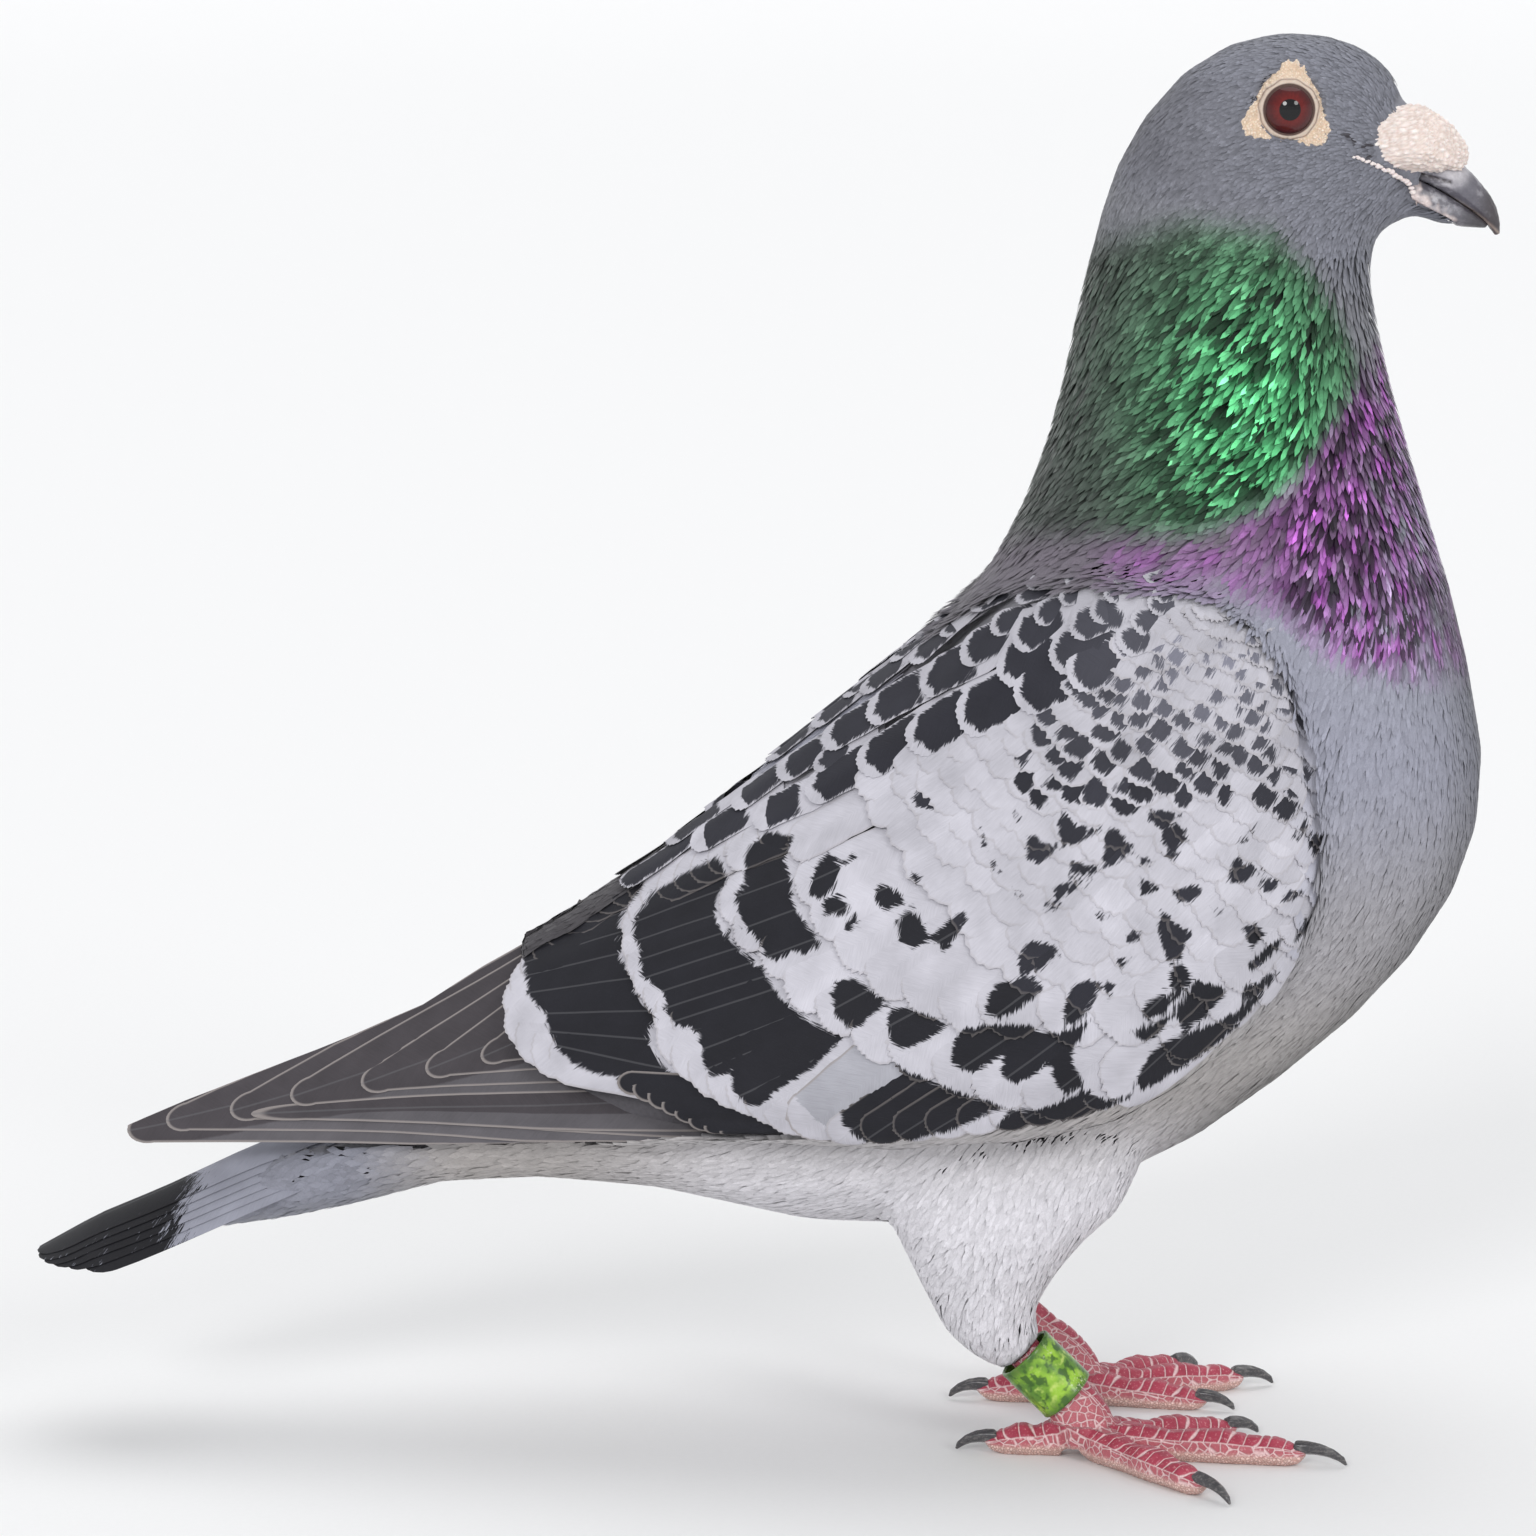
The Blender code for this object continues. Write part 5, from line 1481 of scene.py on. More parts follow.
# Primaries, the longest first: where the tip is, compass angles of the lower and upper edges, half width
# and length.
PRIMARIES = [
    (-110.2, 63.5, 180.6, 203, 3.2, 114), (-103.4, 65.2, 179.8, 208, 2.9, 104),
    (-92.2, 66.9, 179.6, 213, 3.0, 92), (-88.5, 66.4, 181.8, 188, 1.7, 88),
    (-81.6, 69.3, 184.0, 214, 3.0, 78), (-69.2, 71.6, 184.4, 217, 3.2, 60),
    (-57.9, 74.0, 186.0, 220, 3.0, 40), (-48.2, 76.2, 188.0, 222, 2.7, 30),
]
# Which of them is a plain outer web, whose tip lies hidden along its neighbour's edge.
WEB = 3
TAIL_PAIRS = 6
# The folded wing tip: for each x, how far out its lower edge and its ridge are, and how high they are.
WING_TIP = np.array([
    (-118.0, 7.6, 6.6, 54.4, 56.4), (-112.0, 8.9, 6.4, 54.4, 58.6), (-104.0, 10.5, 5.3, 54.5, 62.0),
    (-92.0, 12.7, 4.2, 54.8, 66.6), (-76.0, 15.9, 3.1, 56.2, 72.6), (-60.0, 20.0, 2.1, 57.2, 79.6),
    (-48.0, 25.1, 1.2, 58.3, 87.5), (-32.0, 30.5, 0.8, 59.7, 98.0), (0.0, 33.5, 0.8, 60.4, 118.0),
])
# How far off places on such a line are averaged to round its corners off.
EASING = (-9.0, -6.0, -3.0, 0.0, 3.0, 6.0, 9.0)
# The ridge of the closed tail, its half width and how far its sides droop, from its end to its root.
TAIL_ROOF = np.array([
    (-132.0, 33.4, 18.8, 5.6), (-120.5, 39.9, 18.8, 6.6), (-108.0, 45.3, 18.8, 9.4),
    (-92.0, 53.0, 16.8, 12.0), (-74.0, 59.0, 13.0, 9.0), (-56.0, 62.8, 9.5, 3.0),
])


def eased(x, table, column):
    """A column of a table at x, with the corners of its line rounded off."""
    return np.mean([np.interp(x + off, table[:, 0], table[:, column]) for off in EASING], axis=0)


class WingTip:
    """The outer face of one folded wing tip, for feathers to lie on."""

    def __init__(self, side):
        self.side = side

    def out(self, x, z):
        """How far the face is from the bird's midline."""
        low, high, floor, ridge = (eased(x, WING_TIP, kind) for kind in (1, 2, 3, 4))
        share = np.clip((z - floor) / (ridge - floor), -0.4, 1.1)
        return low + (high - low) * share * (0.7 + 0.3 * share)

    def nearest(self, points):
        """The places on the face beside these, and its normals there."""
        x, _, z = points.T
        step = 1.5
        along_x = (self.out(x + step, z) - self.out(x - step, z)) / (2 * step)
        along_z = (self.out(x, z + step) - self.out(x, z - step)) / (2 * step)
        places = np.stack([x, self.side * self.out(x, z), z], axis=1)
        return places, unit(np.stack([-along_x, np.full(len(x), self.side), -along_z], axis=1))

    def trimmed(self, points):
        """The points, with those above the ridge or below the lower edge brought to it."""
        x, y, z = points[..., 0], points[..., 1], points[..., 2]
        floor, ridge = (np.interp(x, WING_TIP[:, 0], WING_TIP[:, kind]) for kind in (3, 4))
        kept = np.clip(z, floor, ridge)
        moved = np.abs(kept - z) > 1e-6
        y = np.where(moved, self.side * self.out(x, kept), y)
        return np.stack([x, y, kept], axis=-1)

    def seen_from(self, side, x, z):
        """The place on this face that the viewer on its side sees at a side view place."""
        start = VIEWER * (1, side, 1)
        line = np.array([x, side * WING_PLANE, z]) - start
        reach = 1.0
        for _ in range(12):
            place = start + line * reach
            out = float(self.out(place[0], place[2]))
            reach = (VIEWER[1] - out) / (VIEWER[1] - WING_PLANE)
        return start + line * reach


def make_primaries(material):
    """The folded flight feathers, from the longest and lowest to the shortest on top."""
    for side_name, side in SIDES.items():
        face = WingTip(side)
        quills = Plumes()
        for index, (x, z, low, high, half, length) in enumerate(PRIMARIES):
            widening = length * math.tan(math.radians((high - low) / 2)) / half
            tip = face.seen_from(side, x, z)
            if side > 0:
                # The left wing's tip lies a little lower and shorter than the right one's.
                tip = tip + (6.0, 0.0, -3.0)
            quills.add(
                tip, flat_heading((low + high) / 2), pale=QUILL_GREY, dark=np.array(QUILL_BROWN) * 1.25,
                length=length, half=half, spread=widening, lean=5.0 if index == WEB else 0.4, fringe=-2.0,
                side_fringe=-2.0, web=3.4, ragged=0.5, line=0.75, shaft=0.35, jag=0.02, taper=1.0, sink=0.0,
                layer=-0.3 + 0.1 * index,
            )
        quills.make(
            f"primaries_{side_name}", face, side, material, "flight_feathers", 73, straight=16, columns=14,
            replaced=[f"wing_primaries_{side_name}"],
        )


class Roof:
    """The upper face of the closed tail, for feathers to lie on."""

    def height(self, x, y):
        """How high the face is above the floor."""
        ridge, half, droop = (np.interp(x, TAIL_ROOF[:, 0], TAIL_ROOF[:, kind]) for kind in (1, 2, 3))
        return ridge - droop * np.abs(y / half) ** 1.7

    def nearest(self, points):
        """The places on the face above or below these, and its normals there."""
        x, y, _ = points.T
        step = 1.0
        along_x = (self.height(x + step, y) - self.height(x - step, y)) / (2 * step)
        along_y = (self.height(x, y + step) - self.height(x, y - step)) / (2 * step)
        places = np.stack([x, y, self.height(x, y)], axis=1)
        return places, unit(np.stack([-along_x, -along_y, np.ones(len(x))], axis=1))

    def trimmed(self, points):
        """Points of a feather, which this face leaves as they are."""
        return points


def make_tail(material):
    """Twelve tail feathers, the middle pair on top, pale grey with a black end."""
    roof = Roof()
    feathers = Plumes()
    for pair in reversed(range(TAIL_PAIRS)):
        for side in SIDES.values():
            out = pair / (TAIL_PAIRS - 1)
            end = (-131.2 + 9.0 * out**2, side * (1.5 + 12.5 * out), 0.0)
            ends = np.array([end, (-58.0, side * (0.8 + 5.5 * out), 0.0)])
            (tip, root), _ = roof.nearest(ends)
            feathers.add(
                tip, unit(tip - root), pale=np.array(TAIL_GREY) * 1.2, dark=TAIL_BLACK, length=72 - 6 * out,
                half=7.2 - 2.2 * out, spread=-0.15, fringe=-3.0, side_fringe=-3.0, depth=35.0 - 13 * out,
                ragged=16.0, shaft=0.5, jag=0.03, taper=0.8, sink=0.3, layer=-0.1 - 0.3 * pair, lean=0.25,
            )
    feathers.make(
        "tail_feathers", roof, -1, material, "flight_feathers", 74, straight=14, columns=12,
        replaced=["tail"], level=False,
    )


# ---------------------------------------------------------------- bare parts

EYE_RADIUS = 5.6
IRIS_RADIUS = 4.3
PUPIL_RADIUS = 1.85
# The crease between the eyelid and the bare skin round it.
LID_OUT = 5.25
# The string of pale beads from the corner of the mouth to the lower bill, in the side view.
GAPE = [(104.6, 231.7), (107.5, 230.6), (111.0, 229.0), (114.4, 227.2), (115.6, 225.4)]
NOSTRIL = [(109.9, 230.1), (114.5, 228.9), (118.5, 227.9), (122.2, 226.9)]
MOUTH = [(110, 229.6), (116.8, 227.0), (124.7, 222.7), (128.5, 220.0), (131.2, 217.6)]
# Toes, the hind one first: degrees outwards from straight ahead, length, and radius at the tip.
TOES = {
    "right": ((186, 16.0, 2.5), (-23, 30.0, 2.3), (11, 39.0, 2.8), (56, 34.0, 2.7)),
    "left": ((174, 16.0, 2.5), (-14, 24.5, 2.3), (18, 33.5, 2.7), (44, 29.5, 2.5)),
}
# Where the toes meet, how far each leg is from the midline, and the toes' radius there.
FOOT_X = 58.0
LEG_SPREAD = 19.0
TOE_ROOT_RADIUS = 3.3
# How long a scute is, and how wide a claw is as a share of its node.
SCUTE = 2.3
CLAW_SLIM = 0.74
BAND_CENTRE = (51.5, -LEG_SPREAD, 14.9)
# The shanks slant at 45 degrees: how far along x and z a length of 1 on that slope goes, and a place on it.
SLANT = math.sqrt(0.5)
SHANK_FOOT = (46.6, 19.8)

# Colours of the bare parts, linear.
IRIS_RED = (0.125, 0.009, 0.008)
IRIS_OUTER = (0.06, 0.005, 0.006)
IRIS_RIM = (0.018, 0.006, 0.007)
PUPIL_BLACK = (0.003, 0.003, 0.004)
CERE_CREAM = (0.93, 0.82, 0.70)
CERE_CREASE = (0.50, 0.34, 0.22)
CERE_FOLD = (0.66, 0.50, 0.36)
LID_GREY = (0.58, 0.48, 0.40)
LID_CREASE = (0.20, 0.12, 0.09)
LID_EDGE = (0.08, 0.042, 0.034)
WATTLE_WHITE = (0.94, 0.89, 0.86)
# Painted shade in the wattle's crevices.
WATTLE_CREVICE_SHADE = (0.56, 0.42, 0.36)
WATTLE_BLUSH = (0.86, 0.75, 0.69)
BILL_GREY = (0.135, 0.13, 0.155)
BILL_TIP = (0.05, 0.042, 0.048)
BILL_LIP = (0.11, 0.105, 0.12)
BILL_BLOOM = (0.42, 0.41, 0.44)
BILL_PALE = (0.52, 0.50, 0.53)
BILL_SLIT_SHADE = (0.030, 0.020, 0.022)
BILL_EDGE = (0.42, 0.33, 0.28)
LOWER_GREY = (0.11, 0.105, 0.125)
LOWER_TIP = (0.05, 0.045, 0.052)
CHIN_SKIN = (0.76, 0.67, 0.65)
CHIN_CREASE = (0.45, 0.33, 0.31)
GAPE_SKIN = (0.80, 0.71, 0.69)
LEG_CRIMSON = (0.27, 0.020, 0.045), (0.50, 0.075, 0.12)
LEG_FLANK = (0.52, 0.17, 0.19)
LEG_OUTLINE = (0.62, 0.36, 0.37), (0.88, 0.68, 0.68)
LEG_DUST = (0.80, 0.55, 0.55)
PAD_PINK = (0.55, 0.33, 0.29), (0.86, 0.62, 0.56)
CLAW_DARK = (0.045, 0.043, 0.048)
CLAW_STREAK = (0.24, 0.23, 0.22)
CLAW_DUST = (0.55, 0.50, 0.44)
BAND_GREEN = (0.10, 0.25, 0.018), (0.31, 0.56, 0.035)
BAND_YELLOW = (0.50, 0.66, 0.14)
BAND_END_SHADE = (0.045, 0.13, 0.010)
BAND_DARK = (0.030, 0.10, 0.008)
BAND_GLINT = (0.66, 0.72, 0.50)


def eye_material():
    """Pupil, red iris with fine rays and a dark rim, under a clear wet cornea."""
    graph = Graph("eyeball", Roughness=0.35, Coat_Weight=1.0, Coat_Roughness=0.02, Coat_IOR=1.42, IOR=1.1)
    radius = graph.attribute("Radius")
    across, up = graph.map("Iris")
    rays = graph.noise(graph.vector(graph.times(across, 7.0), graph.times(up, 7.0), radius), 1.0, 3.0, 0.6)
    grain = graph.noise(graph.place(), 2600.0)
    iris = graph.mix(graph.step(radius, 2.0, 3.9), IRIS_RED, IRIS_OUTER)
    iris = graph.toned(iris, graph.sum(0.45, (rays, 0.7), (grain, 0.4)))
    iris = graph.mix(graph.step(radius, 3.75, IRIS_RADIUS), iris, IRIS_RIM)
    graph.colour(graph.mix(graph.step(radius, PUPIL_RADIUS + 0.12, PUPIL_RADIUS - 0.06), iris, PUPIL_BLACK))
    return graph.material


def make_eye(side_name, side, material):
    """One eyeball, with its cornea standing a little proud of it on the outer side."""
    made = bmesh.new()
    bmesh.ops.create_uvsphere(made, u_segments=96, v_segments=72, radius=EYE_RADIUS)
    bmesh.ops.rotate(made, verts=made.verts, matrix=Matrix.Rotation(-side * math.pi / 2, 3, "X"))
    name = f"eyeball_{side_name}"
    obj = added(name, mesh_from(made, name))
    local = read(obj.data.vertices, "co", 3).astype(float)
    radius = np.hypot(local[:, 0], local[:, 2])
    outer = local[:, 1] * side > 0
    bulge = 0.3 * np.clip(1 - (radius / 4.4) ** 2, 0, 1) * outer
    reshape(obj, local + EYE * (1, side, 1) + np.outer(bulge, (0, side, 0)))
    measured(obj.data, "Radius", np.where(outer, radius, EYE_RADIUS * 2))
    mapped(obj.data, "Iris", local[:, [0, 2]] / np.maximum(radius, 1e-3)[:, None])
    finish_piece(obj, material, [f"eye_{side_name}"])


def cere_outline(turns):
    """How far from the eye's middle the bare skin reaches, in each direction."""
    place = turns - math.pi / 2 + 0.13
    return 7.15 + 1.65 * np.cos(3 * place) + 0.35 * np.cos(6 * place)


def make_cere(side_name, side, guide, material):
    """The eyelids and the bare granular skin round them, from on the eyeball out to under the feathers."""
    spokes, rings = 320, 44
    turns = np.repeat(np.linspace(0, 2 * math.pi, spokes, endpoint=False)[None], rings, axis=0).ravel()
    share = np.repeat(np.linspace(0, 1, rings), spokes)
    start = 4.02 - 0.12 * np.sin(turns)
    frayed = 0.28 * np.sin(23 * turns + 2 * np.sin(5 * turns)) + 0.22 * np.sin(41 * turns + 1.5)
    radius = start + (cere_outline(turns) + 0.7 + frayed - start) * share
    x = EYE[0] + radius * np.cos(turns)
    z = EYE[2] + radius * np.sin(turns)
    base = np.array([abs(guide.level_from(side, *spot)[1]) for spot in zip(x, z)])
    ball = EYE[1] + np.sqrt(np.maximum(EYE_RADIUS**2 - radius**2, 0.0))
    # The lid stands a little proud of the eyeball and slopes out to the face.
    lid = EYE[1] + math.sqrt(EYE_RADIUS**2 - 4.3**2) + 0.15 - 0.35 * (radius - 4.3)
    hug = smooth(6.9, 5.0, radius)
    slope = np.maximum(lid * hug + (base + 0.05) * (1 - hug), base + 0.05 - 2.5 * np.clip(5.7 - radius, 0, 2))
    height = np.where(radius < 4.3, ball + 0.08, slope)
    height = height + 0.12 * np.exp(-(((radius - 4.75) / 0.4) ** 2))
    crease = np.exp(-(((radius - LID_OUT - 0.1 * np.sin(5 * turns) - 0.08 * np.sin(11 * turns)) / 0.12) ** 2))
    height = height - 0.12 * crease
    places = np.stack([x, height * side, z], axis=1)
    grains = np.clip(cell_gap(places, 0.5, 3.0) * 1.6, 0, 1)
    folds = np.clip(cell_gap(places, 1.3, 7.0) * 2.0, 0, 1)
    rough = smooth(LID_OUT - 0.1, LID_OUT + 0.4, radius)
    height = height + rough * (0.26 * (grains - 0.5) + 0.22 * (folds - 0.6))
    height = height + (1 - rough) * 0.03 * lumps(places, 0.25)
    edge = cere_outline(turns) + 0.8 * frayed - radius
    height = height - 0.75 * smooth(0.9, -0.3, edge)
    height = np.where(share == 0, ball - 0.25, height)
    points = np.stack([x, height * side, z], axis=1)
    skin = mixed(np.tile(CERE_CREAM, (len(points), 1)), CERE_CREASE, rough * (1 - grains) * 0.85)
    skin = mixed(skin, CERE_FOLD, rough * (1 - folds) * 0.5)
    skin = mixed(skin, LID_GREY, 1 - rough)
    skin = mixed(skin, LID_CREASE, crease * 0.85)
    skin = mixed(skin, LID_EDGE, smooth(4.72, 4.45, radius))
    faces = []
    for ring in range(rings - 1):
        for spoke in range(spokes):
            a, b = ring * spokes + spoke, ring * spokes + (spoke + 1) % spokes
            faces += [(a, a + spokes, b + spokes), (a, b + spokes, b)]
    faces = np.array(faces)
    if side < 0:
        faces = faces[:, ::-1]
    obj = make_piece(f"eye_skin_{side_name}", points, faces[:, ::-1], colours={"Marking": skin})
    finish_piece(obj, material, [f"eye_cere_{side_name}"])


def skin_material():
    """Bare skin: its painted colour, mottled, with a fine grain."""
    graph = Graph(
        "face_skin", Roughness=0.6, IOR=1.42, Subsurface_Weight=0.08, Subsurface_Scale=0.001,
        Subsurface_Radius=(1.0, 0.35, 0.2),
    )
    fine = graph.noise(graph.place(), 1500.0, 3.0, 0.6)
    broad = graph.noise(graph.place(), 330.0)
    graph.colour(graph.toned(graph.marking(), graph.sum(0.72, (fine, 0.34), (broad, 0.22))))
    graph.bump(fine, 0.35, 0.12)
    return graph.material


def make_wattle(material):
    """The pale walnut-like swelling over the nostrils, in two lobes."""
    obj = round_nodes("wattle", ["wattle_right", "wattle_left"], 0.55, 0.24, 4)
    shape = Surface(obj)
    points = shape.points
    broad = lumps(points, 3.2, 5.0)
    walnut = np.clip(cell_gap(points, 0.95, 2.0) * 1.7, 0, 1)
    grains = np.clip(cell_gap(points, 0.42, 9.0) * 1.8, 0, 1)
    height = 0.3 * broad + 0.42 * (walnut - 0.6) + 0.15 * (grains - 0.6)
    # The front end runs down along the ridge of the bill.
    front = smooth(118.0, 124.5, points[:, 0])[:, None] * np.array([1.3, 0.0, -1.2])
    rear = smooth(118.0, 110.5, points[:, 0])[:, None]
    points = points + rear * (-5.2, 0.0, -0.6)
    points[:, 1] *= 1 + 0.25 * rear[:, 0]
    points[:, 2] += 0.14 * np.clip(232.0 - points[:, 2], 0, 4)
    reshape(obj, points + shape.normals * height[:, None] + front)
    # Painted shade darkens the crevices between the walnut lumps and the grains.
    painted_light = (1 - walnut) * 0.45 + (1 - grains) * 0.4
    colours = mixed(np.tile(WATTLE_WHITE, (len(points), 1)), WATTLE_CREVICE_SHADE, np.clip(painted_light, 0, 1))
    blush = smooth(0.0, 0.5, lumps(points, 2.4, 12.0))
    painted(obj.data, "Marking", mixed(colours, WATTLE_BLUSH, blush * 0.3))
    finish_piece(obj, material, ["wattle_right", "wattle_left"])


def horn_material():
    """Bill horn: satin dark grey, streaked along the bill, with a powdery bloom."""
    graph = Graph("bill_horn", Roughness=0.38, IOR=1.5, Coat_Weight=0.25, Coat_Roughness=0.25)
    broad = graph.noise(graph.place(), 420.0, 3.0, 0.6)
    fine = graph.noise(graph.place(), 2300.0, 3.0, 0.6)
    base = graph.toned(graph.marking(), graph.sum(0.5, (fine, 0.4), (broad, 0.6)))
    bloom = graph.times(graph.step(broad, 0.5, 0.7), graph.attribute("Bloom"))
    graph.colour(graph.mix(bloom, base, BILL_BLOOM))
    graph.rough(graph.sum(0.3, (fine, 0.22)))
    graph.bump(graph.sum(fine, (broad, 1.0)), 0.25, 0.1)
    return graph.material


def rooted(points):
    """The bill's points, with its base drawn back into the head."""
    back = 3.0 * smooth(112.8, 110.4, points[:, 0])
    return points - back[:, None] * np.array([1.0, 0.0, 0.0])


def make_bill(horn):
    """Upper and lower bill: a hooked dark tip, a nostril slit under the wattle, pale skin at the chin."""
    upper = round_nodes("bill_upper", ["upper_bill"], 0.28, 0.2, 3)
    shape = Surface(upper)
    points = shape.points
    x, _, z = points.T
    gap, _ = from_line(x, z, NOSTRIL)
    slit = np.exp(-((gap / 0.32) ** 2))
    lip = np.exp(-(((gap - 0.75) / 0.3) ** 2)) * (x < 123)
    height = -0.42 * slit + 0.14 * lip + 0.05 * lumps(points, 0.8)
    reshape(upper, rooted(points + shape.normals * height[:, None]))
    colours = mixed(np.tile(BILL_GREY, (len(points), 1)), BILL_TIP, smooth(125.5, 130.5, x))
    colours = mixed(colours, BILL_LIP, smooth(2.2, 0.8, np.abs(gap - 0.5)) * smooth(122, 112, x))
    colours = mixed(colours, BILL_PALE, smooth(4.2, 1.0, np.hypot(x - 123.0, z - 229.0)) * 0.85)
    # The nostril slit is painted nearly black: painted shade in the slit.
    colours = mixed(colours, BILL_SLIT_SHADE, slit)
    mouth, _ = from_line(x, z, MOUTH)
    colours = mixed(colours, BILL_EDGE, np.exp(-(((mouth - 0.4) / 0.25) ** 2)) * smooth(120, 125, x) * 0.7)
    painted(upper.data, "Marking", colours)
    measured(upper.data, "Bloom", smooth(131, 124, x) * 0.8)
    finish_piece(upper, horn, ["upper_bill"])

    lower = round_nodes("bill_lower", ["lower_bill"], 0.28, 0.2, 3)
    shape = Surface(lower)
    points = shape.points
    x, _, z = points.T
    grains = np.clip(cell_gap(points, 0.55, 4.0) * 1.7, 0, 1)
    # The pale skin reaches forwards along the lower edge.
    pale = smooth(2.6, -1.2, (x - 116.5) - (224.5 - z) * 1.1 + lumps(points, 1.2) * 3.0)
    height = pale * 0.15 * (grains - 0.5) + 0.05 * lumps(points, 0.8)
    # Feathers of the chin cover its lower side.
    covered = line_at(x, [(112, 229), *CHIN_LINE[1:]]) - z
    height = height - 1.2 * smooth(-0.3, 0.7, covered) * smooth(124, 122.5, x) - 1.0 * smooth(115.6, 113.4, x)
    reshape(lower, rooted(points + shape.normals * height[:, None] + (0.0, 0.0, 0.2)))
    colours = mixed(np.tile(LOWER_GREY, (len(points), 1)), LOWER_TIP, smooth(123, 128, x))
    colours = mixed(colours, CHIN_SKIN, pale)
    colours = mixed(colours, CHIN_CREASE, pale * (1 - grains) * 0.5)
    painted(lower.data, "Marking", colours)
    measured(lower.data, "Bloom", smooth(128, 118, x) * (1 - pale) * 0.9)
    finish_piece(lower, horn, ["lower_bill"])


def make_gape(surfaces, material):
    """Small pale beads of skin from the corner of the mouth down to the chin."""
    draw = np.random.default_rng(8)
    line = np.array(GAPE, float)
    run = runs_of(line)
    ball = bmesh.new()
    bmesh.ops.create_icosphere(ball, subdivisions=2, radius=1.0)
    corners = np.array([vert.co[:] for vert in ball.verts])
    faces = np.array([[vert.index for vert in face.verts] for face in ball.faces])
    ball.free()
    points, triangles = [], []
    for side in SIDES.values():
        reach = 0.0
        while reach < run[-1]:
            x = np.interp(reach, run, line[:, 0]) + draw.normal(0, 0.1)
            z = np.interp(reach, run, line[:, 1]) + draw.normal(0, 0.1)
            spots = [surface.level_from(side, x, z) for surface in surfaces]
            place = max(spots, key=lambda spot: spot[1] * side)
            size = draw.uniform(0.28, 0.42) * (0.75 + 0.75 * reach / run[-1])
            grown = corners * (size * 1.3, size * 0.7, size * draw.uniform(0.7, 1.1))
            grown = grown * (1 + 0.08 * draw.normal(size=(len(corners), 1)))
            triangles.append(faces + sum(len(part) for part in points))
            points.append(grown + place + (0, side * 0.05, 0))
            reach += size * 1.5
    points = np.concatenate(points)
    colours = np.tile(GAPE_SKIN, (len(points), 1))
    obj = make_piece("gape_beads", points, np.concatenate(triangles), colours={"Marking": colours})
    finish_piece(obj, material)


def scute_places(points, side_name, side):
    """For places on a leg: how far along and round its toe or shank they are, and the sole's share."""
    x, y, z = points.T
    aside = y - side * LEG_SPREAD
    best = np.full(len(points), np.inf)
    reach, turn, radius = np.zeros((3, len(points)))
    for heading, length, tip in TOES[side_name]:
        run, off, _ = toe_run(points, heading, side)
        thick = TOE_ROOT_RADIUS + (tip - TOE_ROOT_RADIUS) * np.clip(run / length, 0, 1)
        gap = np.hypot(off, z - 0.86 * thick) / thick + 10 * (run < 0)
        nearer = gap < best
        best = np.where(nearer, gap, best)
        reach = np.where(nearer, run, reach)
        turn = np.where(nearer, np.arctan2(off, z - 0.86 * thick), turn)
        radius = np.where(nearer, thick, radius)
    ahead, above = x - SHANK_FOOT[0], z - SHANK_FOOT[1]
    run = (ahead - above) * SLANT
    front = (ahead + above) * SLANT
    thick = np.interp(run, [0, 7, 12, 16, 19], [3.2, 3.3, 4.4, 5.2, 5.4])
    shank = (z > 6.2) & (np.hypot(front, aside) < thick * 1.5)
    reach = np.where(shank, run, reach)
    turn = np.where(shank, np.arctan2(aside, front), turn)
    radius = np.where(shank, thick, radius)
    sole = smooth(1.5, 1.95, np.abs(turn)) * ~shank
    sole = np.maximum(sole, smooth(1.6, 0.7, z))
    return reach, turn * radius, sole


def toe_run(points, heading, side):
    """Distances along and off a toe's line on the floor, from where the toes meet, and its direction."""
    angle = math.radians(heading * side)
    way = np.array([math.cos(angle), math.sin(angle), 0.0])
    ahead, aside = points[:, 0] - FOOT_X, points[:, 1] - side * LEG_SPREAD
    return ahead * way[0] + aside * way[1], aside * way[0] - ahead * way[1], way


def round_toes(points, side_name, side):
    """Closes each toe's flat end with a round bulb that reaches to the claw."""
    for heading, length, tip in TOES[side_name]:
        run, off, way = toe_run(points, heading, side)
        gap = np.hypot(off, points[:, 2] - 0.86 * tip) / tip
        near = (gap < 1.6) & (run > length - 3.2)
        end = smooth(length - 0.9, length - 0.1, run) * near
        bulge = way * (end * 1.2 * np.clip(1 - gap**2, 0, 1))[:, None]
        slim = 1 - 0.32 * np.clip((run - length + 3.0) / 3.0, 0, 1) ** 2 * near
        middle = np.stack([points[:, 0], points[:, 1], np.full(len(points), 0.6 * tip)], axis=1)
        middle[:, :2] -= np.stack([-way[1] * off, way[0] * off], axis=1)
        points = middle + (points - middle) * slim[:, None] + bulge
    return points


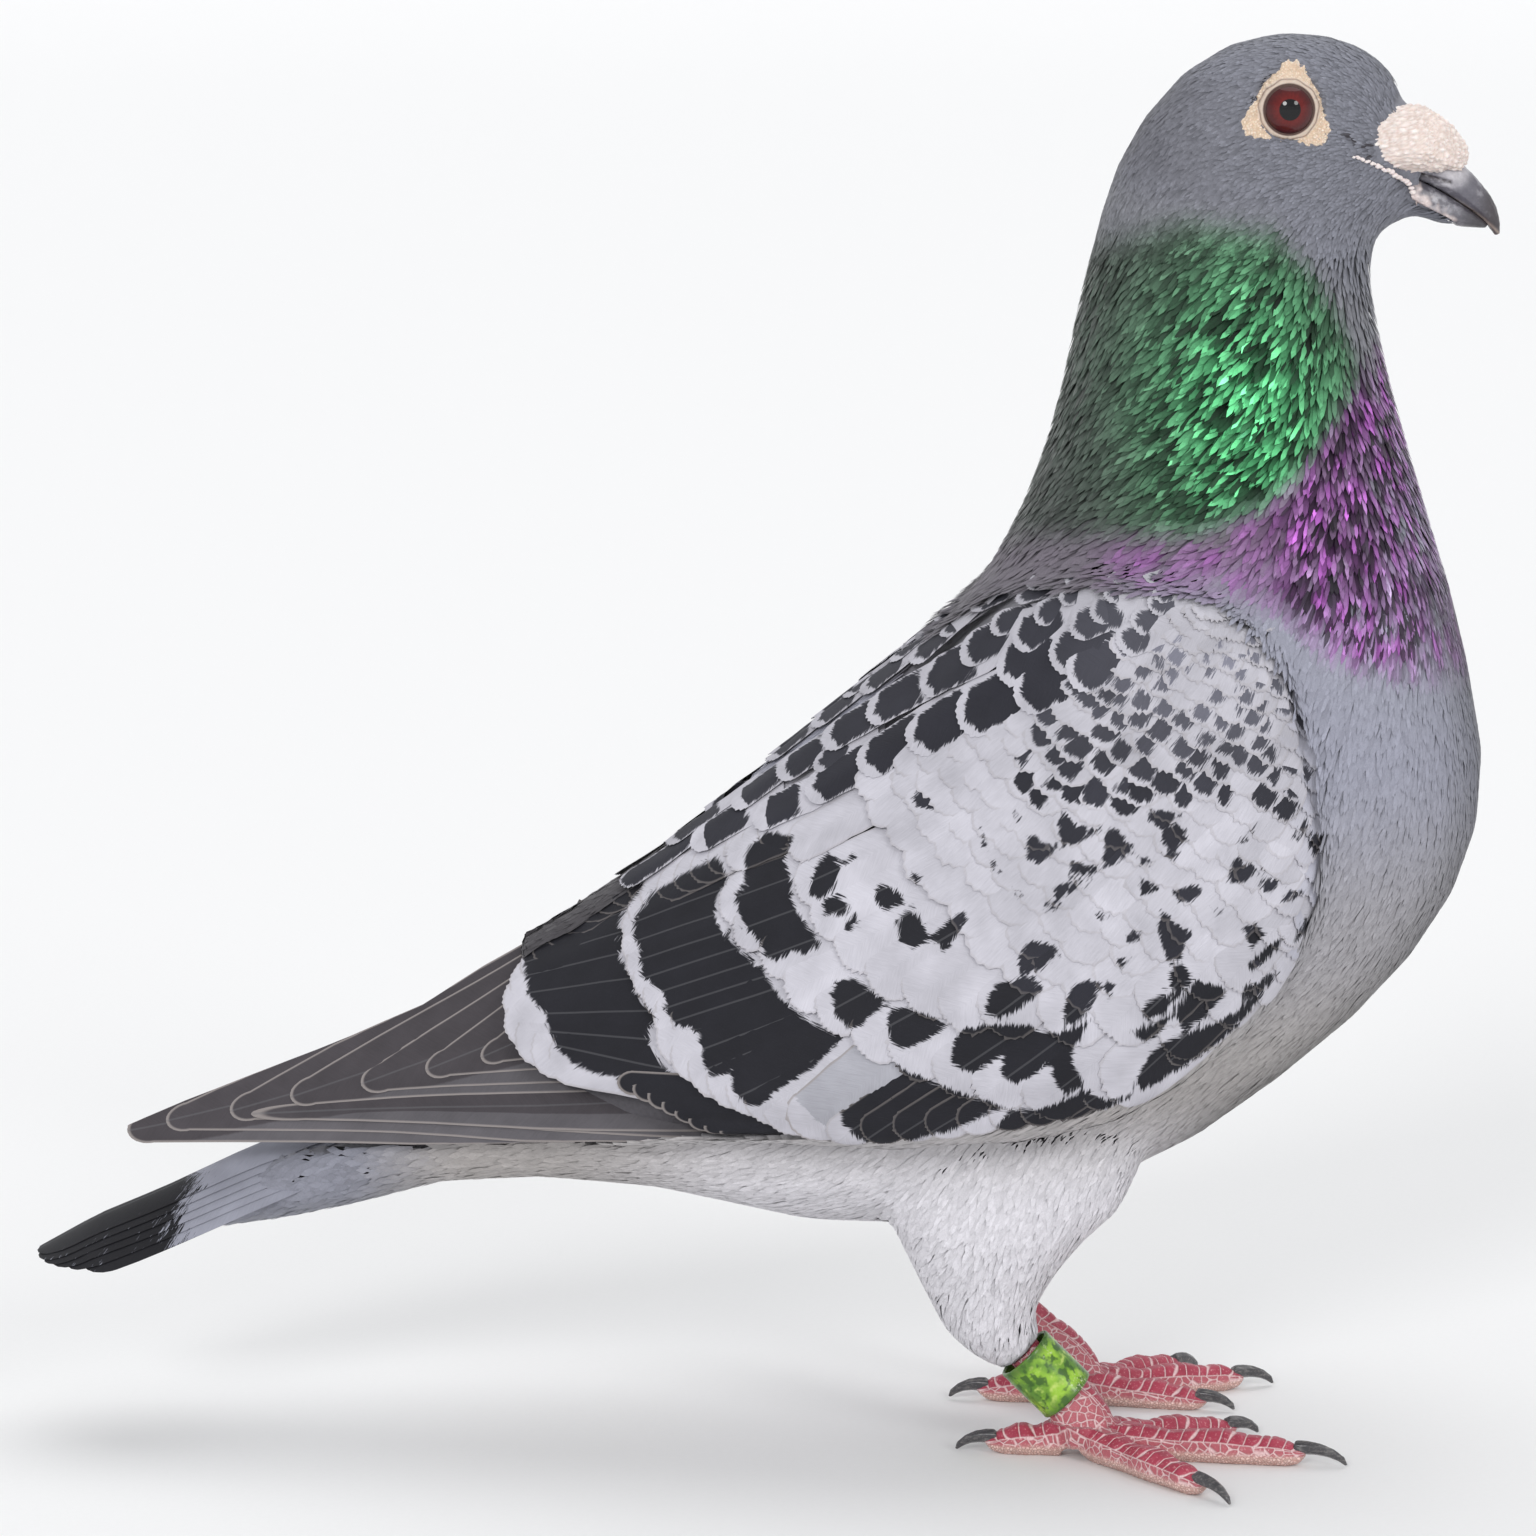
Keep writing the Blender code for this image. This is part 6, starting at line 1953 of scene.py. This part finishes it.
def leg_material():
    """Crimson scutes with pale outlines on top, small scales at the sides, and granular pink pads below."""
    graph = Graph(
        "leg_skin", Roughness=0.45, IOR=1.45, Subsurface_Weight=0.06, Subsurface_Scale=0.001,
        Subsurface_Radius=(1.0, 0.3, 0.2),
    )
    reach, turn = graph.map("Scute")
    sway = graph.math("SINE", graph.times(reach, 1.7))
    row = graph.sum(graph.math("DIVIDE", reach, SCUTE), (sway, 0.16), (graph.times(turn, turn), 0.035))
    plate = graph.step(graph.math("PINGPONG", row, 0.5), 0.03, 0.12)
    flank = graph.size(turn)
    plate = graph.times(plate, graph.step(graph.size(graph.sum(flank, (1.0, -3.3))), 0.08, 0.3))
    small = graph.step(graph.cells(graph.vector(reach, turn), 0.6), 0.02, 0.1)
    on_side = graph.step(flank, 3.15, 3.45)
    scute = graph.between(on_side, plate, small)
    fine = graph.noise(graph.place(), 2200.0, 3.0, 0.6)
    crimson = graph.mix(graph.noise(graph.place(), 300.0), *LEG_CRIMSON)
    crimson = graph.mix(graph.times(on_side, 0.55), crimson, LEG_FLANK)
    colour = graph.mix(scute, graph.mix(fine, *LEG_OUTLINE), crimson)
    colour = graph.mix(graph.times(graph.step(fine, 0.56, 0.72), 0.45), colour, LEG_DUST)
    grains = graph.step(graph.cells(graph.place(), 1700.0), 0.05, 0.25)
    sole = graph.attribute("Sole")
    colour = graph.mix(sole, colour, graph.mix(grains, *PAD_PINK))
    graph.colour(graph.toned(colour, graph.sum(0.85, (fine, 0.3))))
    graph.bump(graph.sum(graph.between(sole, scute, grains), (fine, 0.4)), 0.7, 0.22)
    return graph.material


def make_legs():
    """Each shank with its toes, with raised scutes and pads."""
    material = leg_material()
    for side_name, side in SIDES.items():
        nodes = [f"shank_{side_name}"] + [f"toe_{toe}_{side_name}" for toe in (1, 2, 3, 4)]
        obj = round_nodes(f"leg_{side_name}", nodes, 0.22, 0.35, 5)
        shape = Surface(obj)
        points = shape.points
        reach, turn, sole = scute_places(points, side_name, side)
        row = reach / SCUTE + 0.16 * np.sin(1.7 * reach) + 0.035 * turn**2
        edge = 0.5 - np.abs(row - np.floor(row) - 0.5)
        plate = smooth(0.0, 0.25, edge) * smooth(3.6, 3.1, np.abs(turn))
        soft = cell_gap(points, 1.5, 6.0)
        height = 0.2 * (plate - 0.5) * (1 - sole) + 0.18 * (np.clip(soft * 1.5, 0, 1) - 0.5) * sole - 0.1
        points = points + shape.normals * height[:, None]
        points = round_toes(points, side_name, side)
        points[:, 2] = np.maximum(points[:, 2], 0.02)
        reshape(obj, points)
        mapped(obj.data, "Scute", np.stack([reach, turn], axis=1))
        measured(obj.data, "Sole", sole)
        finish_piece(obj, material, nodes)


def claw_material():
    """Dark horn with pale streaks along it."""
    graph = Graph("claw_horn", Roughness=0.32, IOR=1.5, Coat_Weight=0.3, Coat_Roughness=0.2)
    x, y, z = graph.split(graph.place())
    streak = graph.noise(graph.vector(graph.times(x, 0.25), y, z), 1900.0, 3.0, 0.6)
    fine = graph.noise(graph.place(), 3000.0)
    colour = graph.mix(graph.step(streak, 0.45, 0.85), CLAW_DARK, CLAW_STREAK)
    graph.colour(graph.mix(graph.times(graph.step(fine, 0.55, 0.7), 0.12), colour, CLAW_DUST))
    graph.bump(streak, 0.12, 0.06)
    return graph.material


def make_claws():
    """The claws, each slimmer than its node and with its base drawn back into the toe."""
    nodes = [f"claw_{toe}_{side_name}" for side_name in SIDES for toe in (1, 2, 3, 4)]
    obj = round_nodes("claws", nodes, 0.08, 0.2, 4)
    points = Surface(obj).points
    for side_name, side in SIDES.items():
        for heading, length, _ in TOES[side_name]:
            run, off, way = toe_run(points, heading, side)
            own = (run > length - 1) & (run < length + 9) & (np.abs(off) < 2.4)
            base = smooth(length + 1.4, length + 0.5, run) * own
            # The height of the claw's middle line, step by step along it.
            steps = np.arange(length - 1, length + 10, 0.8)
            middle = np.full(len(steps), np.nan)
            for index, start in enumerate(steps):
                ring = own & (np.abs(run - start) < 0.8)
                if ring.any():
                    middle[index] = (points[ring, 2].min() + points[ring, 2].max()) / 2
            known = ~np.isnan(middle)
            height = np.interp(run, steps[known], middle[known])
            sideways = np.array([-way[1], way[0], 0.0])
            slim = (CLAW_SLIM - 1) * own
            upwards = (points[:, 2] - height) * slim
            points = points + sideways * (off * slim)[:, None] + UP * upwards[:, None]
            points = points - way * (1.8 * base)[:, None]
    reshape(obj, points)
    finish_piece(obj, claw_material(), nodes)


def band_material():
    """Mottled green printed plastic with no lettering, with painted shade at its rolled ends, so paler in the
    middle, and pale specks painted as glints.
    """
    graph = Graph("band_plastic", Roughness=0.32, IOR=1.46, Coat_Weight=0.35, Coat_Roughness=0.15)
    broad = graph.noise(graph.place(), 190.0)
    middle = graph.noise(graph.place(), 520.0, 2.0, 0.55)
    fine = graph.noise(graph.place(), 2100.0)
    x, _, z = graph.split(graph.place())
    centre = (BAND_CENTRE[2] - BAND_CENTRE[0]) * SLANT
    along_it = graph.sum(centre, (x, SLANT / MM), (z, -SLANT / MM))
    # The rolled ends are painted darker: painted shade.
    rim = graph.step(graph.sum(graph.size(along_it), (middle, 3.0)), 4.9, 7.0)
    colour = graph.mix(graph.step(broad, 0.40, 0.58), *BAND_GREEN)
    colour = graph.mix(graph.step(middle, 0.55, 0.74), colour, BAND_YELLOW)
    colour = graph.mix(graph.times(rim, 0.85), colour, BAND_END_SHADE)
    colour = graph.mix(graph.times(graph.step(middle, 0.52, 0.38), 0.9), colour, BAND_DARK)
    # Pale specks painted as glints.
    painted_light = graph.times(graph.step(fine, 0.52, 0.7), graph.step(broad, 0.55, 0.66))
    graph.colour(graph.mix(painted_light, colour, BAND_GLINT))
    graph.rough(graph.sum(0.25, (fine, 0.25)))
    graph.bump(graph.sum(fine, (middle, 1.0)), 0.2, 0.1)
    return graph.material


def make_band():
    """The ring round the right shank, with rolled edges."""
    centre = np.array(BAND_CENTRE)
    axis = np.array([SLANT, 0, -SLANT])
    across = np.array([SLANT, 0, SLANT])
    # Round the section: distance from the axis, and along it.
    profile = [
        (5.25, -5.6), (5.5, -5.5), (5.6, -5.25), (5.56, -4.9), (5.56, -2.0), (5.56, 2.0), (5.56, 4.9),
        (5.6, 5.25), (5.5, 5.5), (5.25, 5.6), (5.0, 5.5), (4.92, 5.2), (4.92, 0.0), (4.92, -5.2),
        (5.0, -5.5),
    ]
    sides = 96
    points, faces = [], []
    for index in range(sides):
        angle = 2 * math.pi * index / sides
        out = across * math.cos(angle) + np.array([0, 1, 0]) * math.sin(angle)
        points += [centre + out * radius + axis * place for radius, place in profile]
    for index in range(sides):
        for step in range(len(profile)):
            a, b = index * len(profile), (index + 1) % sides * len(profile)
            after = (step + 1) % len(profile)
            faces += [(a + step, b + step, b + after), (a + step, b + after, a + after)]
    obj = make_piece("band", np.array(points), np.array(faces))
    finish_piece(obj, band_material(), ["leg_band"])


def make_bare_parts(guide):
    skin = skin_material()
    eyes = eye_material()
    for side_name, side in SIDES.items():
        make_eye(side_name, side, eyes)
        make_cere(side_name, side, guide, skin)
    make_wattle(skin)
    make_bill(horn_material())
    make_gape([guide, Surface(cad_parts["lower_bill"])], skin)
    make_legs()
    make_claws()
    make_band()


# ---------------------------------------------------------------- all of it


def main():
    make_camera()
    make_light()
    make_floor()
    covered = FLESH + ["lower_bill", "wattle_right", "wattle_left"]
    guide = Surface(round_nodes("guide", covered, 0.45, 1.25, 10))
    make_skin(guide)
    bare = [Surface(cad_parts[node]) for node in ("wattle_right", "wattle_left", "upper_bill")]
    make_coats(guide, bare)
    wing_nodes = FLESH + ["wing_primaries_right", "wing_primaries_left"]
    wing_guide = Surface(round_nodes("wing_guide", wing_nodes, 0.45, 1.1, 8))
    make_wing_feathers(wing_guide)
    quill = vane_material("vane_quill")
    make_primaries(quill)
    make_tail(quill)
    make_bare_parts(guide)
    for surface in (guide, wing_guide):
        bpy.data.objects.remove(surface.obj)


main()
